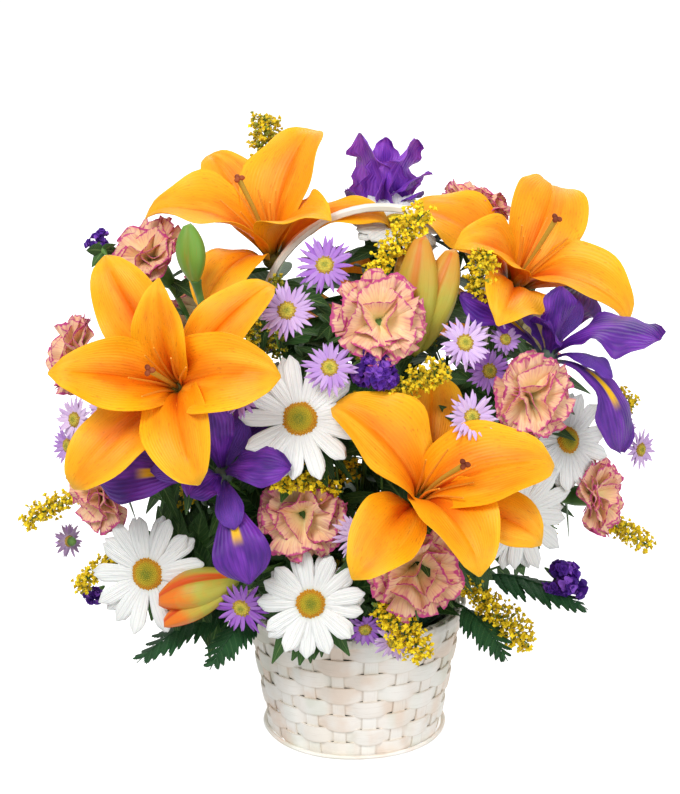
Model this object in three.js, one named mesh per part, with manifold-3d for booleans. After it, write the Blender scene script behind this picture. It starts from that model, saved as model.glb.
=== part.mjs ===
// A florist's basket arrangement: a whitewashed chip basket with a hoop handle, a liner and soaked
// foam inside it, and lilies, irises, daisies, carnations, asters, statice, goldenrod and fern that
// stand in the foam. Millimetres, +Z up, the origin at the middle of the basket's foot, -Y in front.
import * as THREE from "three";
import { mergeVertices } from "three/addons/utils/BufferGeometryUtils.js";
import Module from "manifold-3d";

const wasm = await Module();
wasm.setup();
const { Manifold, Mesh } = wasm;

// The basket's driving sizes
const FOOT_RADIUS = 56;
const MOUTH_RADIUS = 71;
const BASKET_HEIGHT = 85;
const WALL = 3.2;
const WEAVE_RELIEF = 1.3;
const STAKES = 20;
const WEAVE_ROWS = 8;
const HANDLE = { top: 356, halfSpan: 72, lean: 16, width: 9, thickness: 5, foot: 14 };
const LINER = { clear: 6.2, wall: 1, floor: 4.6, top: 88 };
const FOAM = { clear: 0.5, shoulder: 87, top: 96, bevel: 7 };

// The space that touching pieces keep, and how thick petals are
const GAP = 0.3;
const FLATNESS = 0.1;
const SLIVER = 1e-3;
const LEAST_TURN = 0.6;
const PETAL = { lily: 0.9, iris: 0.8, daisy: 0.8, fern: 0.8 };

// Every stem stands on a line that leaves this point far below the foot
const STEM_ORIGIN = new THREE.Vector3(0, 0, -200);
const STEM_FOOT_Z = 26;

// Blooms with no direction of their own face away from this point, and towards the front or rear
const HEART = new THREE.Vector3(0, 10, 165);
const FRONT_LEAN = 0.9;

const GOLDEN_ANGLE = 2.39996;
const vec = (place) => new THREE.Vector3(...place);
const degrees = THREE.MathUtils.degToRad;
const wallRadius = (z) => FOOT_RADIUS + ((MOUTH_RADIUS - FOOT_RADIUS) * z) / BASKET_HEIGHT;
const insideRadius = (z) => wallRadius(z) - WALL;

// A repeatable stream of numbers from 0 to 1
function seeded(seed) {
  const [multiplier, modulus, mask] = [16807, 2147483647, 0xfffff];
  let state = seed * 7919 + 17;
  return () => {
    state = (state * multiplier) % modulus;
    return (state & mask) / (mask + 1);
  };
}

// Closed geometries as solids

function signedVolume(geometry) {
  const at = geometry.getAttribute("position");
  const corner = (i) => new THREE.Vector3().fromBufferAttribute(at, geometry.index.array[i]);
  let six = 0;
  for (let f = 0; f < geometry.index.count; f += 3) {
    six += corner(f).dot(corner(f + 1).cross(corner(f + 2)));
  }
  return six;
}

// Moves every face out by about grow
function swell(geometry, grow) {
  const sharpest = 0.45;
  const at = geometry.getAttribute("position");
  const index = geometry.index.array;
  const corners = Array.from({ length: at.count }, () => []);
  const place = (i) => new THREE.Vector3().fromBufferAttribute(at, i);
  for (let f = 0; f < index.length; f += 3) {
    const [a, b, c] = [place(index[f]), place(index[f + 1]), place(index[f + 2])];
    const normal = b.clone().sub(a).cross(c.clone().sub(a)).normalize();
    [[a, b, c], [b, c, a], [c, a, b]].forEach(([p, q, r], k) => {
      const angle = q.clone().sub(p).angleTo(r.clone().sub(p));
      corners[index[f + k]].push({ normal, angle });
    });
  }
  corners.forEach((faces, i) => {
    const out = new THREE.Vector3();
    faces.forEach(({ normal, angle }) => out.addScaledVector(normal, angle));
    out.normalize();
    const least = Math.min(...faces.map(({ normal }) => normal.dot(out)));
    const moved = place(i).addScaledVector(out, grow / Math.max(least, sharpest));
    at.setXYZ(i, moved.x, moved.y, moved.z);
  });
}

// A closed geometry as a solid, its faces pointing out, swollen by grow
function asSolid(geometry, grow) {
  const bare = new THREE.BufferGeometry();
  bare.setAttribute("position", geometry.getAttribute("position").clone());
  if (geometry.index) bare.setIndex(geometry.index.clone());
  const merged = mergeVertices(bare, 1e-3);
  const kept = [];
  for (let f = 0; f < merged.index.count; f += 3) {
    const [a, b, c] = merged.index.array.slice(f, f + 3);
    if (a !== b && b !== c && c !== a) kept.push(a, b, c);
  }
  merged.setIndex(kept);
  if (signedVolume(merged) < 0) {
    for (let f = 0; f < kept.length; f += 3) {
      [kept[f + 1], kept[f + 2]] = [kept[f + 2], kept[f + 1]];
    }
    merged.setIndex(kept);
  }
  if (grow) swell(merged, grow);
  return new Manifold(
    new Mesh({
      numProp: 3,
      vertProperties: new Float32Array(merged.getAttribute("position").array),
      triVerts: new Uint32Array(merged.index.array),
    }),
  );
}

const fused = (solids) => Manifold.union(solids);

function meshOf(points, faces) {
  const geometry = new THREE.BufferGeometry();
  const numbers = points.flatMap((p) => p.toArray());
  geometry.setAttribute("position", new THREE.Float32BufferAttribute(numbers, 3));
  geometry.setIndex(faces.flat());
  return geometry;
}

// A bloom's own frame: its place, the way it faces, and its right and up across that

function outward(at) {
  const away = vec(at).sub(HEART).normalize();
  away.y += FRONT_LEAN * Math.sign(at[1] || -1);
  return away.normalize().toArray();
}

function frameOf({ at, facing = outward(at) }) {
  const out = vec(facing).normalize();
  const right = new THREE.Vector3(1, 0, 0);
  right.addScaledVector(out, -right.dot(out)).normalize();
  const up = out.clone().cross(right);
  const matrix = new THREE.Matrix4().makeBasis(right, up, out).setPosition(vec(at));
  return { at: vec(at), out, right, up, matrix };
}

const along = (frame, h) => frame.at.clone().addScaledVector(frame.out, h);
const offset = (frame, h, x, y) =>
  along(frame, h).addScaledVector(frame.right, x).addScaledVector(frame.up, y);

function radialOf(frame, turn) {
  const radial = frame.right.clone().multiplyScalar(Math.cos(turn));
  return radial.addScaledVector(frame.up, Math.sin(turn));
}

// Building blocks

// A thin arched sheet: point(s, q) is its middle surface, s from root to tip and q from -1 to 1
function sheet({ steps, lanes = 2, thick, point }, grow) {
  const points = [];
  const nudge = 0.01;
  for (const side of [0.5, -0.5]) {
    for (let i = 0; i <= steps; i++) {
      for (let j = 0; j <= lanes; j++) {
        const [s, q] = [i / steps, (2 * j) / lanes - 1];
        const ahead = point(Math.min(s + nudge, 1), q).sub(point(Math.max(s - nudge, 0), q));
        const over = point(s, Math.min(q + nudge, 1)).sub(point(s, Math.max(q - nudge, -1)));
        points.push(point(s, q).addScaledVector(ahead.cross(over).normalize(), side * thick));
      }
    }
  }
  const back = points.length / 2;
  const id = (i, j) => i * (lanes + 1) + j;
  const faces = [];
  for (let i = 0; i < steps; i++) {
    for (let j = 0; j < lanes; j++) {
      const [a, b, c, d] = [id(i, j), id(i + 1, j), id(i + 1, j + 1), id(i, j + 1)];
      faces.push([a, b, c], [a, c, d], [back + a, back + c, back + b], [back + a, back + d, back + c]);
    }
  }
  const rim = [];
  for (let i = 0; i < steps; i++) rim.push(id(i, 0));
  for (let j = 0; j < lanes; j++) rim.push(id(steps, j));
  for (let i = steps; i > 0; i--) rim.push(id(i, lanes));
  for (let j = lanes; j > 0; j--) rim.push(id(0, j));
  rim.forEach((a, k) => {
    const b = rim[(k + 1) % rim.length];
    faces.push([a, back + b, b], [a, back + a, back + b]);
  });
  return asSolid(meshOf(points, faces), grow);
}

// A faceted stalk along a curve
function stalk(curve, radius, sides, steps, grow) {
  const outline = new THREE.Shape();
  for (let k = 0; k < sides; k++) {
    const turn = (2 * Math.PI * k) / sides;
    const [x, y] = [radius * Math.cos(turn), radius * Math.sin(turn)];
    if (k) outline.lineTo(x, y);
    else outline.moveTo(x, y);
  }
  outline.closePath();
  return asSolid(new THREE.ExtrudeGeometry(outline, { steps, extrudePath: curve }), grow);
}

const rod = (from, to, radius, sides, grow) => stalk(new THREE.LineCurve3(from, to), radius, sides, 1, grow);

// A turned body in a bloom's frame: its profile is [radius, height] pairs from axis to axis
function turned(profile, sides, matrix, grow) {
  const lathe = new THREE.LatheGeometry(profile.map(([r, h]) => new THREE.Vector2(r, h)), sides);
  lathe.rotateX(Math.PI / 2);
  lathe.applyMatrix4(matrix);
  return asSolid(lathe, grow);
}

// Faces for a first point, rings of the same number of sides, and a last point
function closedRings(rings, sides) {
  const faces = [];
  const id = (i, k) => 1 + i * sides + (k % sides);
  const last = 1 + rings * sides;
  for (let k = 0; k < sides; k++) {
    faces.push([0, id(0, k + 1), id(0, k)]);
    for (let i = 0; i < rings - 1; i++) {
      faces.push([id(i, k), id(i, k + 1), id(i + 1, k + 1)], [id(i, k), id(i + 1, k + 1), id(i + 1, k)]);
    }
    faces.push([id(rings - 1, k), id(rings - 1, k + 1), last]);
  }
  return faces;
}

// The basket

const UPRIGHT = new THREE.Matrix4();

// Each row of splint bows out over one stake and in behind the next
function basketWall(grow) {
  const step = 0.35;
  const [bottom, top] = [0.5, BASKET_HEIGHT - 0.5];
  const rowHeight = (top - bottom) / WEAVE_ROWS;
  const points = [];
  const addRing = (z, radiusAt) => {
    for (let k = 0; k < STAKES; k++) {
      const turn = (2 * Math.PI * (k + 0.5)) / STAKES;
      const r = radiusAt(k);
      points.push(new THREE.Vector3(r * Math.cos(turn), r * Math.sin(turn), z));
    }
  };
  for (let row = 0; row < WEAVE_ROWS; row++) {
    const low = bottom + row * rowHeight + (row ? step : 0);
    const high = bottom + (row + 1) * rowHeight - (row < WEAVE_ROWS - 1 ? step : 0);
    for (const z of [low, high]) {
      addRing(z, (k) => wallRadius(z) + WEAVE_RELIEF * Math.cos(Math.PI * (k + row)));
    }
  }
  addRing(top, () => insideRadius(top));
  addRing(bottom, () => insideRadius(bottom));
  const loops = points.length / STAKES;
  const faces = [];
  for (let i = 0; i < loops; i++) {
    const [from, to] = [i * STAKES, ((i + 1) % loops) * STAKES];
    for (let k = 0; k < STAKES; k++) {
      const next = (k + 1) % STAKES;
      faces.push([from + k, from + next, to + next], [from + k, to + next, to + k]);
    }
  }
  return asSolid(meshOf(points, faces), grow);
}

function basketBase(grow) {
  const [r, thickness] = [insideRadius(0) - 1.2, 4];
  return turned([[0, 0], [r, 0], [r, thickness], [0, thickness]], STAKES, UPRIGHT, grow);
}

function ring(inner, outer, low, high, grow) {
  const profile = [[inner, low], [outer, low], [outer, high], [inner, high], [inner, low]];
  return turned(profile, STAKES, UPRIGHT, grow);
}

function basketFoot(grow) {
  const [height, cane] = [3.6, 3];
  const inner = wallRadius(height) + WEAVE_RELIEF + 1;
  return ring(inner, inner + cane, 0, height, grow);
}

const basketRim = (grow) => ring(insideRadius(BASKET_HEIGHT), MOUTH_RADIUS + 3, BASKET_HEIGHT, 90, grow);

// Two legs inside the wall, and half a circle over the flowers that leans a little to the right
function handleCurve() {
  const half = HANDLE.thickness / 2;
  const polygon = Math.cos(Math.PI / STAKES);
  const legX = (z) => insideRadius(z) * polygon - half - 0.8;
  const legs = [[-legX(HANDLE.foot), HANDLE.foot], [-legX(BASKET_HEIGHT - 3), BASKET_HEIGHT + 2]];
  legs.push([-HANDLE.halfSpan + 2, 170]);
  const centre = HANDLE.top - HANDLE.halfSpan;
  const arcSteps = 8;
  const arch = [];
  for (let k = 0; k <= arcSteps; k++) {
    const turn = Math.PI * (1 - k / arcSteps);
    arch.push([HANDLE.halfSpan * Math.cos(turn), centre + HANDLE.halfSpan * Math.sin(turn)]);
  }
  const right = legs.map(([x, z]) => [-x, z]).reverse();
  const leanFrom = 100;
  const lean = (z) => HANDLE.lean * Math.max(0, (z - leanFrom) / (HANDLE.top - leanFrom));
  const path = [...legs, ...arch, ...right].map(([x, z]) => new THREE.Vector3(x + lean(z), 0, z));
  return new THREE.CatmullRomCurve3(path, false, "centripetal");
}

function basketHandle(grow) {
  const [x, y] = [HANDLE.width / 2, HANDLE.thickness / 2];
  const strip = new THREE.Shape([[-x, -y], [x, -y], [x, y], [-x, y]].map((p) => new THREE.Vector2(...p)));
  return asSolid(new THREE.ExtrudeGeometry(strip, { steps: 26, extrudePath: handleCurve() }), grow);
}

function liner(grow) {
  const { clear, wall, floor, top } = LINER;
  const low = insideRadius(floor) - clear;
  const high = insideRadius(BASKET_HEIGHT) - clear;
  const outside = [[0, floor], [low, floor], [high, top]];
  const inner = [[high - wall, top], [low - wall, floor + wall], [0, floor + wall]];
  return turned([...outside, ...inner], STAKES, UPRIGHT, grow);
}

function foam(grow) {
  const { clear, shoulder, top, bevel } = FOAM;
  const bottom = LINER.floor + LINER.wall + clear;
  const inset = LINER.clear + LINER.wall + clear;
  const low = insideRadius(LINER.floor) - inset;
  const high = insideRadius(BASKET_HEIGHT) - inset;
  const profile = [[0, bottom], [low, bottom], [high, shoulder], [high - bevel, top], [0, top]];
  return turned(profile, STAKES, UPRIGHT, grow);
}

// Lilies

// Inner and outer tepals alternate: the outer ones leave the throat lower and lie behind the inner
const TEPAL = {
  steps: 4,
  outline: { from: 0.05, over: 0.9, late: 1.2 },
  cup: { root: 1.1, fall: 0.8 },
  throat: [[0, -7], [8, 1], [0, 8]],
  style: { long: 62, radius: 1.6 },
  inner: { from: 8, root: 2.4, cup: 0.6 },
  outer: { from: 27, root: 5.2, cup: 0.16 },
};

// A tepal's spine is an arc that leaves the throat near the axis and opens out by its own angle
function tepalPoint(frame, [turn, open, long, wide], layer) {
  const from = degrees(layer.from);
  const bend = degrees(open) - from;
  const radial = radialOf(frame, degrees(turn));
  const side = frame.out.clone().cross(radial);
  const { outline, cup: hollow } = TEPAL;
  return (s, q) => {
    const angle = from + bend * s;
    const ahead = (long * (Math.sin(angle) - Math.sin(from))) / bend;
    const away = (long * (Math.cos(from) - Math.cos(angle))) / bend;
    const half = (wide / 2) * Math.sin(Math.PI * (outline.from + outline.over * s ** outline.late));
    const cup = layer.cup * half * q * q * (hollow.root - hollow.fall * s);
    return along(frame, ahead + cup * Math.sin(angle))
      .addScaledVector(radial, layer.root + away - cup * Math.cos(angle))
      .addScaledVector(side, half * q);
  };
}

function lilyBloom(bloom, grow) {
  const frame = frameOf(bloom);
  const blades = bloom.tepals.map((tepal, k) => {
    const point = tepalPoint(frame, tepal, k % 2 ? TEPAL.outer : TEPAL.inner);
    return sheet({ steps: TEPAL.steps, thick: PETAL.lily, point }, grow);
  });
  const throat = turned(TEPAL.throat, 6, frame.matrix, grow);
  return fused([throat, ...blades]);
}

// The style and its three-sided stigma
function lilyMiddle(bloom, grow) {
  const frame = frameOf(bloom);
  const { long, radius } = TEPAL.style;
  const stigma = [[0, long - 4], [3.6, long + 1], [0, long + 3]];
  return fused([
    rod(along(frame, -3), along(frame, long), radius, 4, grow),
    turned(stigma, 3, frame.matrix, grow),
  ]);
}

// A bud: a long body with three seams
const BUD = {
  rings: [0.08, 0.34, 0.64, 0.9],
  sides: 6,
  outline: { from: 0.12, over: 0.8 },
  seam: 0.82,
  rib: 1.06,
};

function lilyBud({ long, wide, ...bud }, grow) {
  const frame = frameOf(bud);
  const { rings, sides, outline, seam, rib } = BUD;
  const points = [frame.at.clone()];
  for (const s of rings) {
    const half = (wide / 2) * Math.sin(Math.PI * (outline.from + outline.over * s));
    for (let k = 0; k < sides; k++) {
      const turn = (2 * Math.PI * k) / sides;
      const body = half * (k % 2 ? seam : rib);
      points.push(offset(frame, s * long, body * Math.cos(turn), body * Math.sin(turn)));
    }
  }
  points.push(along(frame, long));
  return asSolid(meshOf(points, closedRings(rings.length, sides)), grow);
}

// Irises: falls that reach out and drop, standards between them, and a style arm over each fall

const IRIS_BLADES = {
  falls: { from: 50, wide: 36, steps: 4, waist: 2.2, root: 6 },
  standards: { from: 2, wide: 26, steps: 3, waist: 2, root: 2.4 },
  arms: { from: 24, wide: 18, steps: 2, waist: 1.8, root: 4.2 },
};
const IRIS_OUTLINE = { from: 0.05, over: 0.87, least: 0.14, arch: 0.18 };

function irisPoint(frame, kind, { turn, to, long, wide = kind.wide, waist = kind.waist }) {
  const start = degrees(kind.from);
  const bend = degrees(to) - start;
  const radial = radialOf(frame, degrees(turn));
  const side = frame.out.clone().cross(radial);
  const outline = IRIS_OUTLINE;
  return (s, q) => {
    const angle = start + bend * s;
    const high = (long * (Math.sin(angle) - Math.sin(start))) / bend;
    const away = (long * (Math.cos(start) - Math.cos(angle))) / bend;
    const belly = Math.sin(Math.PI * (outline.from + outline.over * s ** waist));
    const half = (wide / 2) * Math.max(belly, outline.least);
    const cup = -outline.arch * half * q * q;
    return along(frame, high + cup * Math.sin(angle))
      .addScaledVector(radial, kind.root + away - cup * Math.cos(angle))
      .addScaledVector(side, half * q);
  };
}

function irisBloom(bloom, grow) {
  const frame = frameOf(bloom);
  const blades = Object.entries(IRIS_BLADES).flatMap(([name, kind]) =>
    bloom[name].map((blade) =>
      sheet({ steps: kind.steps, thick: PETAL.iris, point: irisPoint(frame, kind, blade) }, grow),
    ),
  );
  const throat = turned([[0, -9], [7.4, 0], [0, 6]], 6, frame.matrix, grow);
  return fused([throat, ...blades]);
}

// Daisies

// A daisy's hub and notch are shares of its radius
const DAISY = { count: 13, hub: 0.28, notch: 0.32, wide: 12, dish: 0.1, stagger: 1.6 };

// A ring of blunt rays that is open in the middle
function daisyRays({ radius, seed, ...bloom }, grow) {
  const frame = frameOf(bloom);
  const draw = seeded(seed);
  const { count, wide, dish, stagger } = DAISY;
  const [hub, notch] = [DAISY.hub * radius, DAISY.notch * radius];
  const points = [];
  for (let k = 0; k < count; k++) {
    const step = (2 * Math.PI) / count;
    const long = radius * (0.92 + 0.12 * draw());
    const lift = (k % 2 ? stagger : -stagger) + (draw() - 0.5) * stagger;
    const half = wide / 2 / long;
    const spot = (r, angle, h) => points.push(offset(frame, h, r * Math.cos(angle), r * Math.sin(angle)));
    spot(hub, k * step, 0);
    spot(notch, k * step, 0);
    spot(long, (k + 0.5) * step - half, dish * (long - hub) + lift);
    spot(long, (k + 0.5) * step + half, dish * (long - hub) + lift);
  }
  const back = points.length;
  const lower = points.map((p) => p.clone().addScaledVector(frame.out, -PETAL.daisy));
  const id = (k, j) => (k % count) * 4 + j;
  const faces = [];
  for (let k = 0; k < count; k++) {
    const [hubA, notchA, hubB, notchB] = [id(k, 0), id(k, 1), id(k + 1, 0), id(k + 1, 1)];
    const [tipA, tipB] = [id(k, 2), id(k, 3)];
    const top = [[hubA, notchA, notchB], [hubA, notchB, hubB], [notchA, tipA, tipB], [notchA, tipB, notchB]];
    for (const [a, b, c] of top) faces.push([a, b, c], [back + a, back + c, back + b]);
    for (const [a, b] of [[notchA, tipA], [tipA, tipB], [tipB, notchB], [hubB, hubA]]) {
      faces.push([a, back + b, b], [a, back + a, back + b]);
    }
  }
  return asSolid(meshOf([...points, ...lower], faces), grow);
}

// The domed disc, and the green cup under the rays
function daisyMiddle(bloom, grow) {
  const disc = DAISY.hub * bloom.radius * Math.cos(Math.PI / DAISY.count) - 2.2 * GAP;
  const profile = [[0, -10], [disc + 1.6, -1.9], [disc, -1.4], [disc - 1.4, 2.8], [0, 4.4]];
  return turned(profile, 8, frameOf(bloom).matrix, grow);
}

// Carnations: crimped petals in rings that rise and fall, over a calyx
const CARNATION = {
  sides: 12,
  rings: [
    [0.26, 0.54, 0.06], [0.32, 0.2, 0.03], [0.62, 0.42, 0.09], [0.58, 0.08, 0.04],
    [0.9, 0.16, 0.12], [0.96, -0.08, 0.08], [0.22, -0.14, 0],
  ],
};
const CALYX = { top: -5.4, long: 20, radius: 6.2 };

function carnationHead({ radius, seed, ...bloom }, grow) {
  const frame = frameOf(bloom);
  const draw = seeded(seed);
  const points = [along(frame, radius * 0.3)];
  CARNATION.rings.forEach(([r, h, crimp], i) => {
    const phase = 2 * Math.PI * draw();
    for (let k = 0; k < CARNATION.sides; k++) {
      const turn = (2 * Math.PI * (k + 0.5 * (i % 2))) / CARNATION.sides;
      const wave = crimp * (k % 2 ? 1 : -1) + crimp * Math.sin(3 * turn + phase);
      const far = radius * (r + 0.6 * wave);
      points.push(offset(frame, radius * (h + wave), far * Math.cos(turn), far * Math.sin(turn)));
    }
  });
  points.push(along(frame, CALYX.top + 2 * GAP));
  return asSolid(meshOf(points, closedRings(CARNATION.rings.length, CARNATION.sides)), grow);
}

function carnationCalyx(bloom, grow) {
  const { top, long, radius } = CALYX;
  const profile = [[0, top - long], [radius * 0.8, top - long / 2], [radius, top], [0, top]];
  return turned(profile, 6, frameOf(bloom).matrix, grow);
}

// An aster: pointed, ridged rays round a raised disc, over a cup with a flat three-sided foot
const ASTER = { rays: 9, notch: 0.42, top: 3, foot: -4.6, footRadius: 2.6 };

function asterHead({ radius, seed, ...bloom }, grow) {
  const frame = frameOf(bloom);
  const draw = seeded(seed);
  const rim = 2 * ASTER.rays;
  const footSides = 3;
  const points = [along(frame, ASTER.top)];
  for (let k = 0; k < rim; k++) {
    const turn = (2 * Math.PI * k) / rim;
    const isTip = k % 2 === 1;
    const reach = isTip ? radius : ASTER.notch * radius;
    const high = isTip ? radius * (0.05 + 0.14 * draw()) : -0.6;
    points.push(offset(frame, high, reach * Math.cos(turn), reach * Math.sin(turn)));
  }
  for (let k = 0; k < footSides; k++) {
    const turn = (2 * Math.PI * (k + 0.5)) / footSides;
    const [x, y] = [ASTER.footRadius * Math.cos(turn), ASTER.footRadius * Math.sin(turn)];
    points.push(offset(frame, ASTER.foot, x, y));
  }
  const foot = (k) => 1 + rim + (Math.floor((k * footSides) / rim) % footSides);
  const faces = [[foot(0), rim + 3, rim + 2]];
  for (let k = 0; k < rim; k++) {
    const next = (k + 1) % rim;
    faces.push([0, 1 + k, 1 + next], [foot(k), 1 + next, 1 + k]);
    if (foot(k) !== foot(next)) faces.push([foot(k), foot(next), 1 + next]);
  }
  return asSolid(meshOf(points, faces), grow);
}

// A statice head: papery florets that stand out of a dome, in rings of [radius, height]
const STATICE = { sides: 8, rings: [[0.34, 0.72], [0.72, 0.5], [0.95, 0.1], [0.6, -0.36]] };

function staticeHead({ radius, ...bloom }, grow) {
  const frame = frameOf(bloom);
  const points = [along(frame, 0.5 * radius)];
  STATICE.rings.forEach(([r, h], i) => {
    for (let k = 0; k < STATICE.sides; k++) {
      const turn = (2 * Math.PI * k) / STATICE.sides;
      const reach = radius * ((k + i) % 2 ? 0.7 : 1.12);
      points.push(offset(frame, h * reach, r * reach * Math.cos(turn), r * reach * Math.sin(turn)));
    }
  });
  points.push(along(frame, -radius));
  return asSolid(meshOf(points, closedRings(STATICE.rings.length, STATICE.sides)), grow);
}

// A goldenrod plume: florets stand out all round a bowed core, shorter towards its tip
const PLUME = {
  rings: 7,
  sides: 6,
  bow: 6,
  core: 0.3,
  least: 1.2,
  lean: 1.6,
  along: { last: 0.94, over: 0.88 },
  outline: { least: 0.35, swell: 0.65, late: 0.7 },
  reach: { least: 0.85, spread: 0.35 },
};

function plume({ from, to, wide, seed }, grow) {
  const { rings, sides, bow, core, least, lean, along: places, outline, reach: spread } = PLUME;
  const draw = seeded(seed);
  const [start, end] = [vec(from), vec(to)];
  const middle = start.clone().lerp(end, 0.5);
  middle.z += bow;
  const curve = new THREE.QuadraticBezierCurve3(start, middle, end);
  const points = [end.clone()];
  for (let i = 0; i < rings; i++) {
    const s = places.last - (places.over * i) / (rings - 1);
    const ring = frameOf({ at: curve.getPoint(s).toArray(), facing: curve.getTangent(s).toArray() });
    const swell = outline.swell * Math.sin(Math.PI * (1 - s) ** outline.late);
    const body = (wide / 2) * (outline.least + swell);
    for (let k = 0; k < sides; k++) {
      const floret = (k + i) % 2 === 0;
      const tip = () => body * (spread.least + spread.spread * draw());
      const reach = floret ? tip() : Math.max(body * core, least);
      const turn = (2 * Math.PI * k) / sides;
      const ahead = floret ? lean : 0;
      points.push(offset(ring, ahead, reach * Math.cos(turn), reach * Math.sin(turn)));
    }
  }
  points.push(start.clone());
  return asSolid(meshOf(points, closedRings(rings, sides)), grow);
}

// A fern leaf: leaflets cut to the rib in one arched blade
const FERN = {
  pairs: 6,
  arch: 10,
  bend: 0.45,
  droop: 0.22,
  rib: 1.2,
  along: { from: 0.02, over: 0.9, tip: 0.1, heel: 0.085 },
  outline: { from: 0.26, over: 0.64 },
};

function fernLeaf({ from, to, wide }, grow) {
  const { pairs, arch, bend, droop, rib: half, along: places, outline } = FERN;
  const [start, end] = [vec(from), vec(to)];
  const middle = start.clone().lerp(end, bend);
  middle.z += arch;
  const rib = new THREE.QuadraticBezierCurve3(start, middle, end);
  const side = end.clone().sub(start).cross(new THREE.Vector3(0, 0, 1)).normalize();
  const spot = (s, across) => {
    const place = rib.getPoint(Math.min(s, 1)).addScaledVector(side, across);
    place.z -= droop * Math.abs(across);
    return place;
  };
  const points = [];
  const perPair = 6;
  for (let i = 0; i <= pairs; i++) {
    const share = i / pairs;
    const s = places.from + places.over * share;
    const reach = (wide / 2) * Math.sin(Math.PI * (outline.from + outline.over * share));
    points.push(spot(s, half), spot(s, -half));
    for (const hand of [1, -1]) {
      points.push(spot(s + places.tip, hand * reach), spot(s + places.heel, (hand * reach) / 2));
    }
  }
  points.push(end);
  const last = points.length - 1;
  const id = (i, j) => i * perPair + j;
  const tops = [];
  const edges = [];
  for (let i = 0; i < pairs; i++) {
    const [left, right, nextLeft, nextRight] = [id(i, 0), id(i, 1), id(i + 1, 0), id(i + 1, 1)];
    const [leftTip, leftHeel, rightTip, rightHeel] = [id(i, 2), id(i, 3), id(i, 4), id(i, 5)];
    tops.push([left, nextLeft, nextRight], [left, nextRight, right]);
    tops.push([left, leftTip, leftHeel], [left, leftHeel, nextLeft]);
    tops.push([right, rightHeel, rightTip], [right, nextRight, rightHeel]);
    edges.push([left, leftTip], [leftTip, leftHeel], [leftHeel, nextLeft]);
    edges.push([rightTip, right], [rightHeel, rightTip], [nextRight, rightHeel]);
  }
  const [endLeft, endRight] = [id(pairs, 0), id(pairs, 1)];
  tops.push([endLeft, last, endRight]);
  edges.push([endLeft, last], [last, endRight], [id(0, 1), id(0, 0)]);
  return sheetOf(points, tops, edges, PETAL.fern, grow);
}

// A flat outline of triangles made thick downwards, with the points that no triangle uses left out
function sheetOf(points, tops, edges, thick, grow) {
  const used = [...new Set(tops.flat())];
  const rank = new Map(used.map((point, k) => [point, k]));
  const upper = used.map((k) => points[k]);
  const lower = upper.map((p) => p.clone().add(new THREE.Vector3(0, 0, -thick)));
  const faces = [];
  for (const face of tops) {
    const [a, b, c] = face.map((k) => rank.get(k));
    faces.push([a, b, c], [used.length + a, used.length + c, used.length + b]);
  }
  for (const edge of edges) {
    const [a, b] = edge.map((k) => rank.get(k));
    faces.push([b, a, used.length + a], [b, used.length + a, used.length + b]);
  }
  return asSolid(meshOf([...upper, ...lower], faces), grow);
}

// Drops the corners that joins and cuts leave on surfaces that are flat or nearly so: a corner moves
// along an edge to its neighbour where no face around it turns over or moves by more than FLATNESS

function normalOf(a, b, c) {
  return b.clone().sub(a).cross(c.clone().sub(a));
}

function canMerge(points, faces, rings, from, to) {
  const around = [...rings[from]];
  const staying = around.filter((f) => !faces[f].includes(to));
  if (around.length - staying.length !== 2) return false;
  const near = (v) => new Set([...rings[v]].flatMap((f) => faces[f]).filter((w) => w !== v));
  const shared = [...near(from)].filter((v) => near(to).has(v));
  if (shared.length !== 2) return false;
  const target = points[to];
  const flatEnough = (plane, origin, spot) => Math.abs(plane.dot(spot.clone().sub(origin))) < FLATNESS;
  for (const f of around) {
    const corners = faces[f].map((v) => points[v]);
    const before = normalOf(...corners);
    const area = before.length();
    if (area > SLIVER && !flatEnough(before.divideScalar(area), corners[0], target)) return false;
    if (!staying.includes(f)) continue;
    const moved = faces[f].map((v) => points[v === from ? to : v]);
    const after = normalOf(...moved);
    const newArea = after.length();
    if (newArea < SLIVER) return false;
    if (area > SLIVER && after.divideScalar(newArea).dot(before) < LEAST_TURN) return false;
    const plane = area > SLIVER ? after : after.divideScalar(newArea);
    if (!flatEnough(plane, moved[0], points[from])) return false;
  }
  return true;
}

function thinned(solid) {
  const { vertProperties, triVerts } = solid.getMesh();
  const points = [];
  for (let i = 0; i < vertProperties.length; i += 3) points.push(vec(vertProperties.slice(i, i + 3)));
  const faces = [];
  for (let f = 0; f < triVerts.length; f += 3) faces.push([...triVerts.slice(f, f + 3)]);
  const rings = points.map(() => new Set());
  faces.forEach((face, f) => face.forEach((v) => rings[v].add(f)));
  let changed = true;
  while (changed) {
    changed = false;
    for (let from = 0; from < points.length; from++) {
      if (!rings[from].size) continue;
      const neighbours = new Set([...rings[from]].flatMap((f) => faces[f]).filter((v) => v !== from));
      const sorted = [...neighbours].sort(
        (a, b) => points[a].distanceTo(points[from]) - points[b].distanceTo(points[from]),
      );
      const to = sorted.find((v) => canMerge(points, faces, rings, from, v));
      if (to === undefined) continue;
      for (const f of rings[from]) {
        if (faces[f].includes(to)) {
          faces[f].forEach((v) => v !== from && rings[v].delete(f));
          faces[f] = null;
        } else {
          faces[f] = faces[f].map((v) => (v === from ? to : v));
          rings[to].add(f);
        }
      }
      rings[from] = new Set();
      changed = true;
    }
  }
  const used = points.map((_, v) => v).filter((v) => rings[v].size);
  const rank = new Map(used.map((v, k) => [v, k]));
  const left = faces.filter(Boolean).map((face) => face.map((v) => rank.get(v)));
  return meshOf(used.map((v) => points[v]), left);
}

// Placing: each node is cut clear of those placed before it, and keeps its main body

const arrangement = new THREE.Group();
const placed = [];

const boxesMeet = (a, b) => [0, 1, 2].every((i) => a.min[i] < b.max[i] && b.min[i] < a.max[i]);

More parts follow.
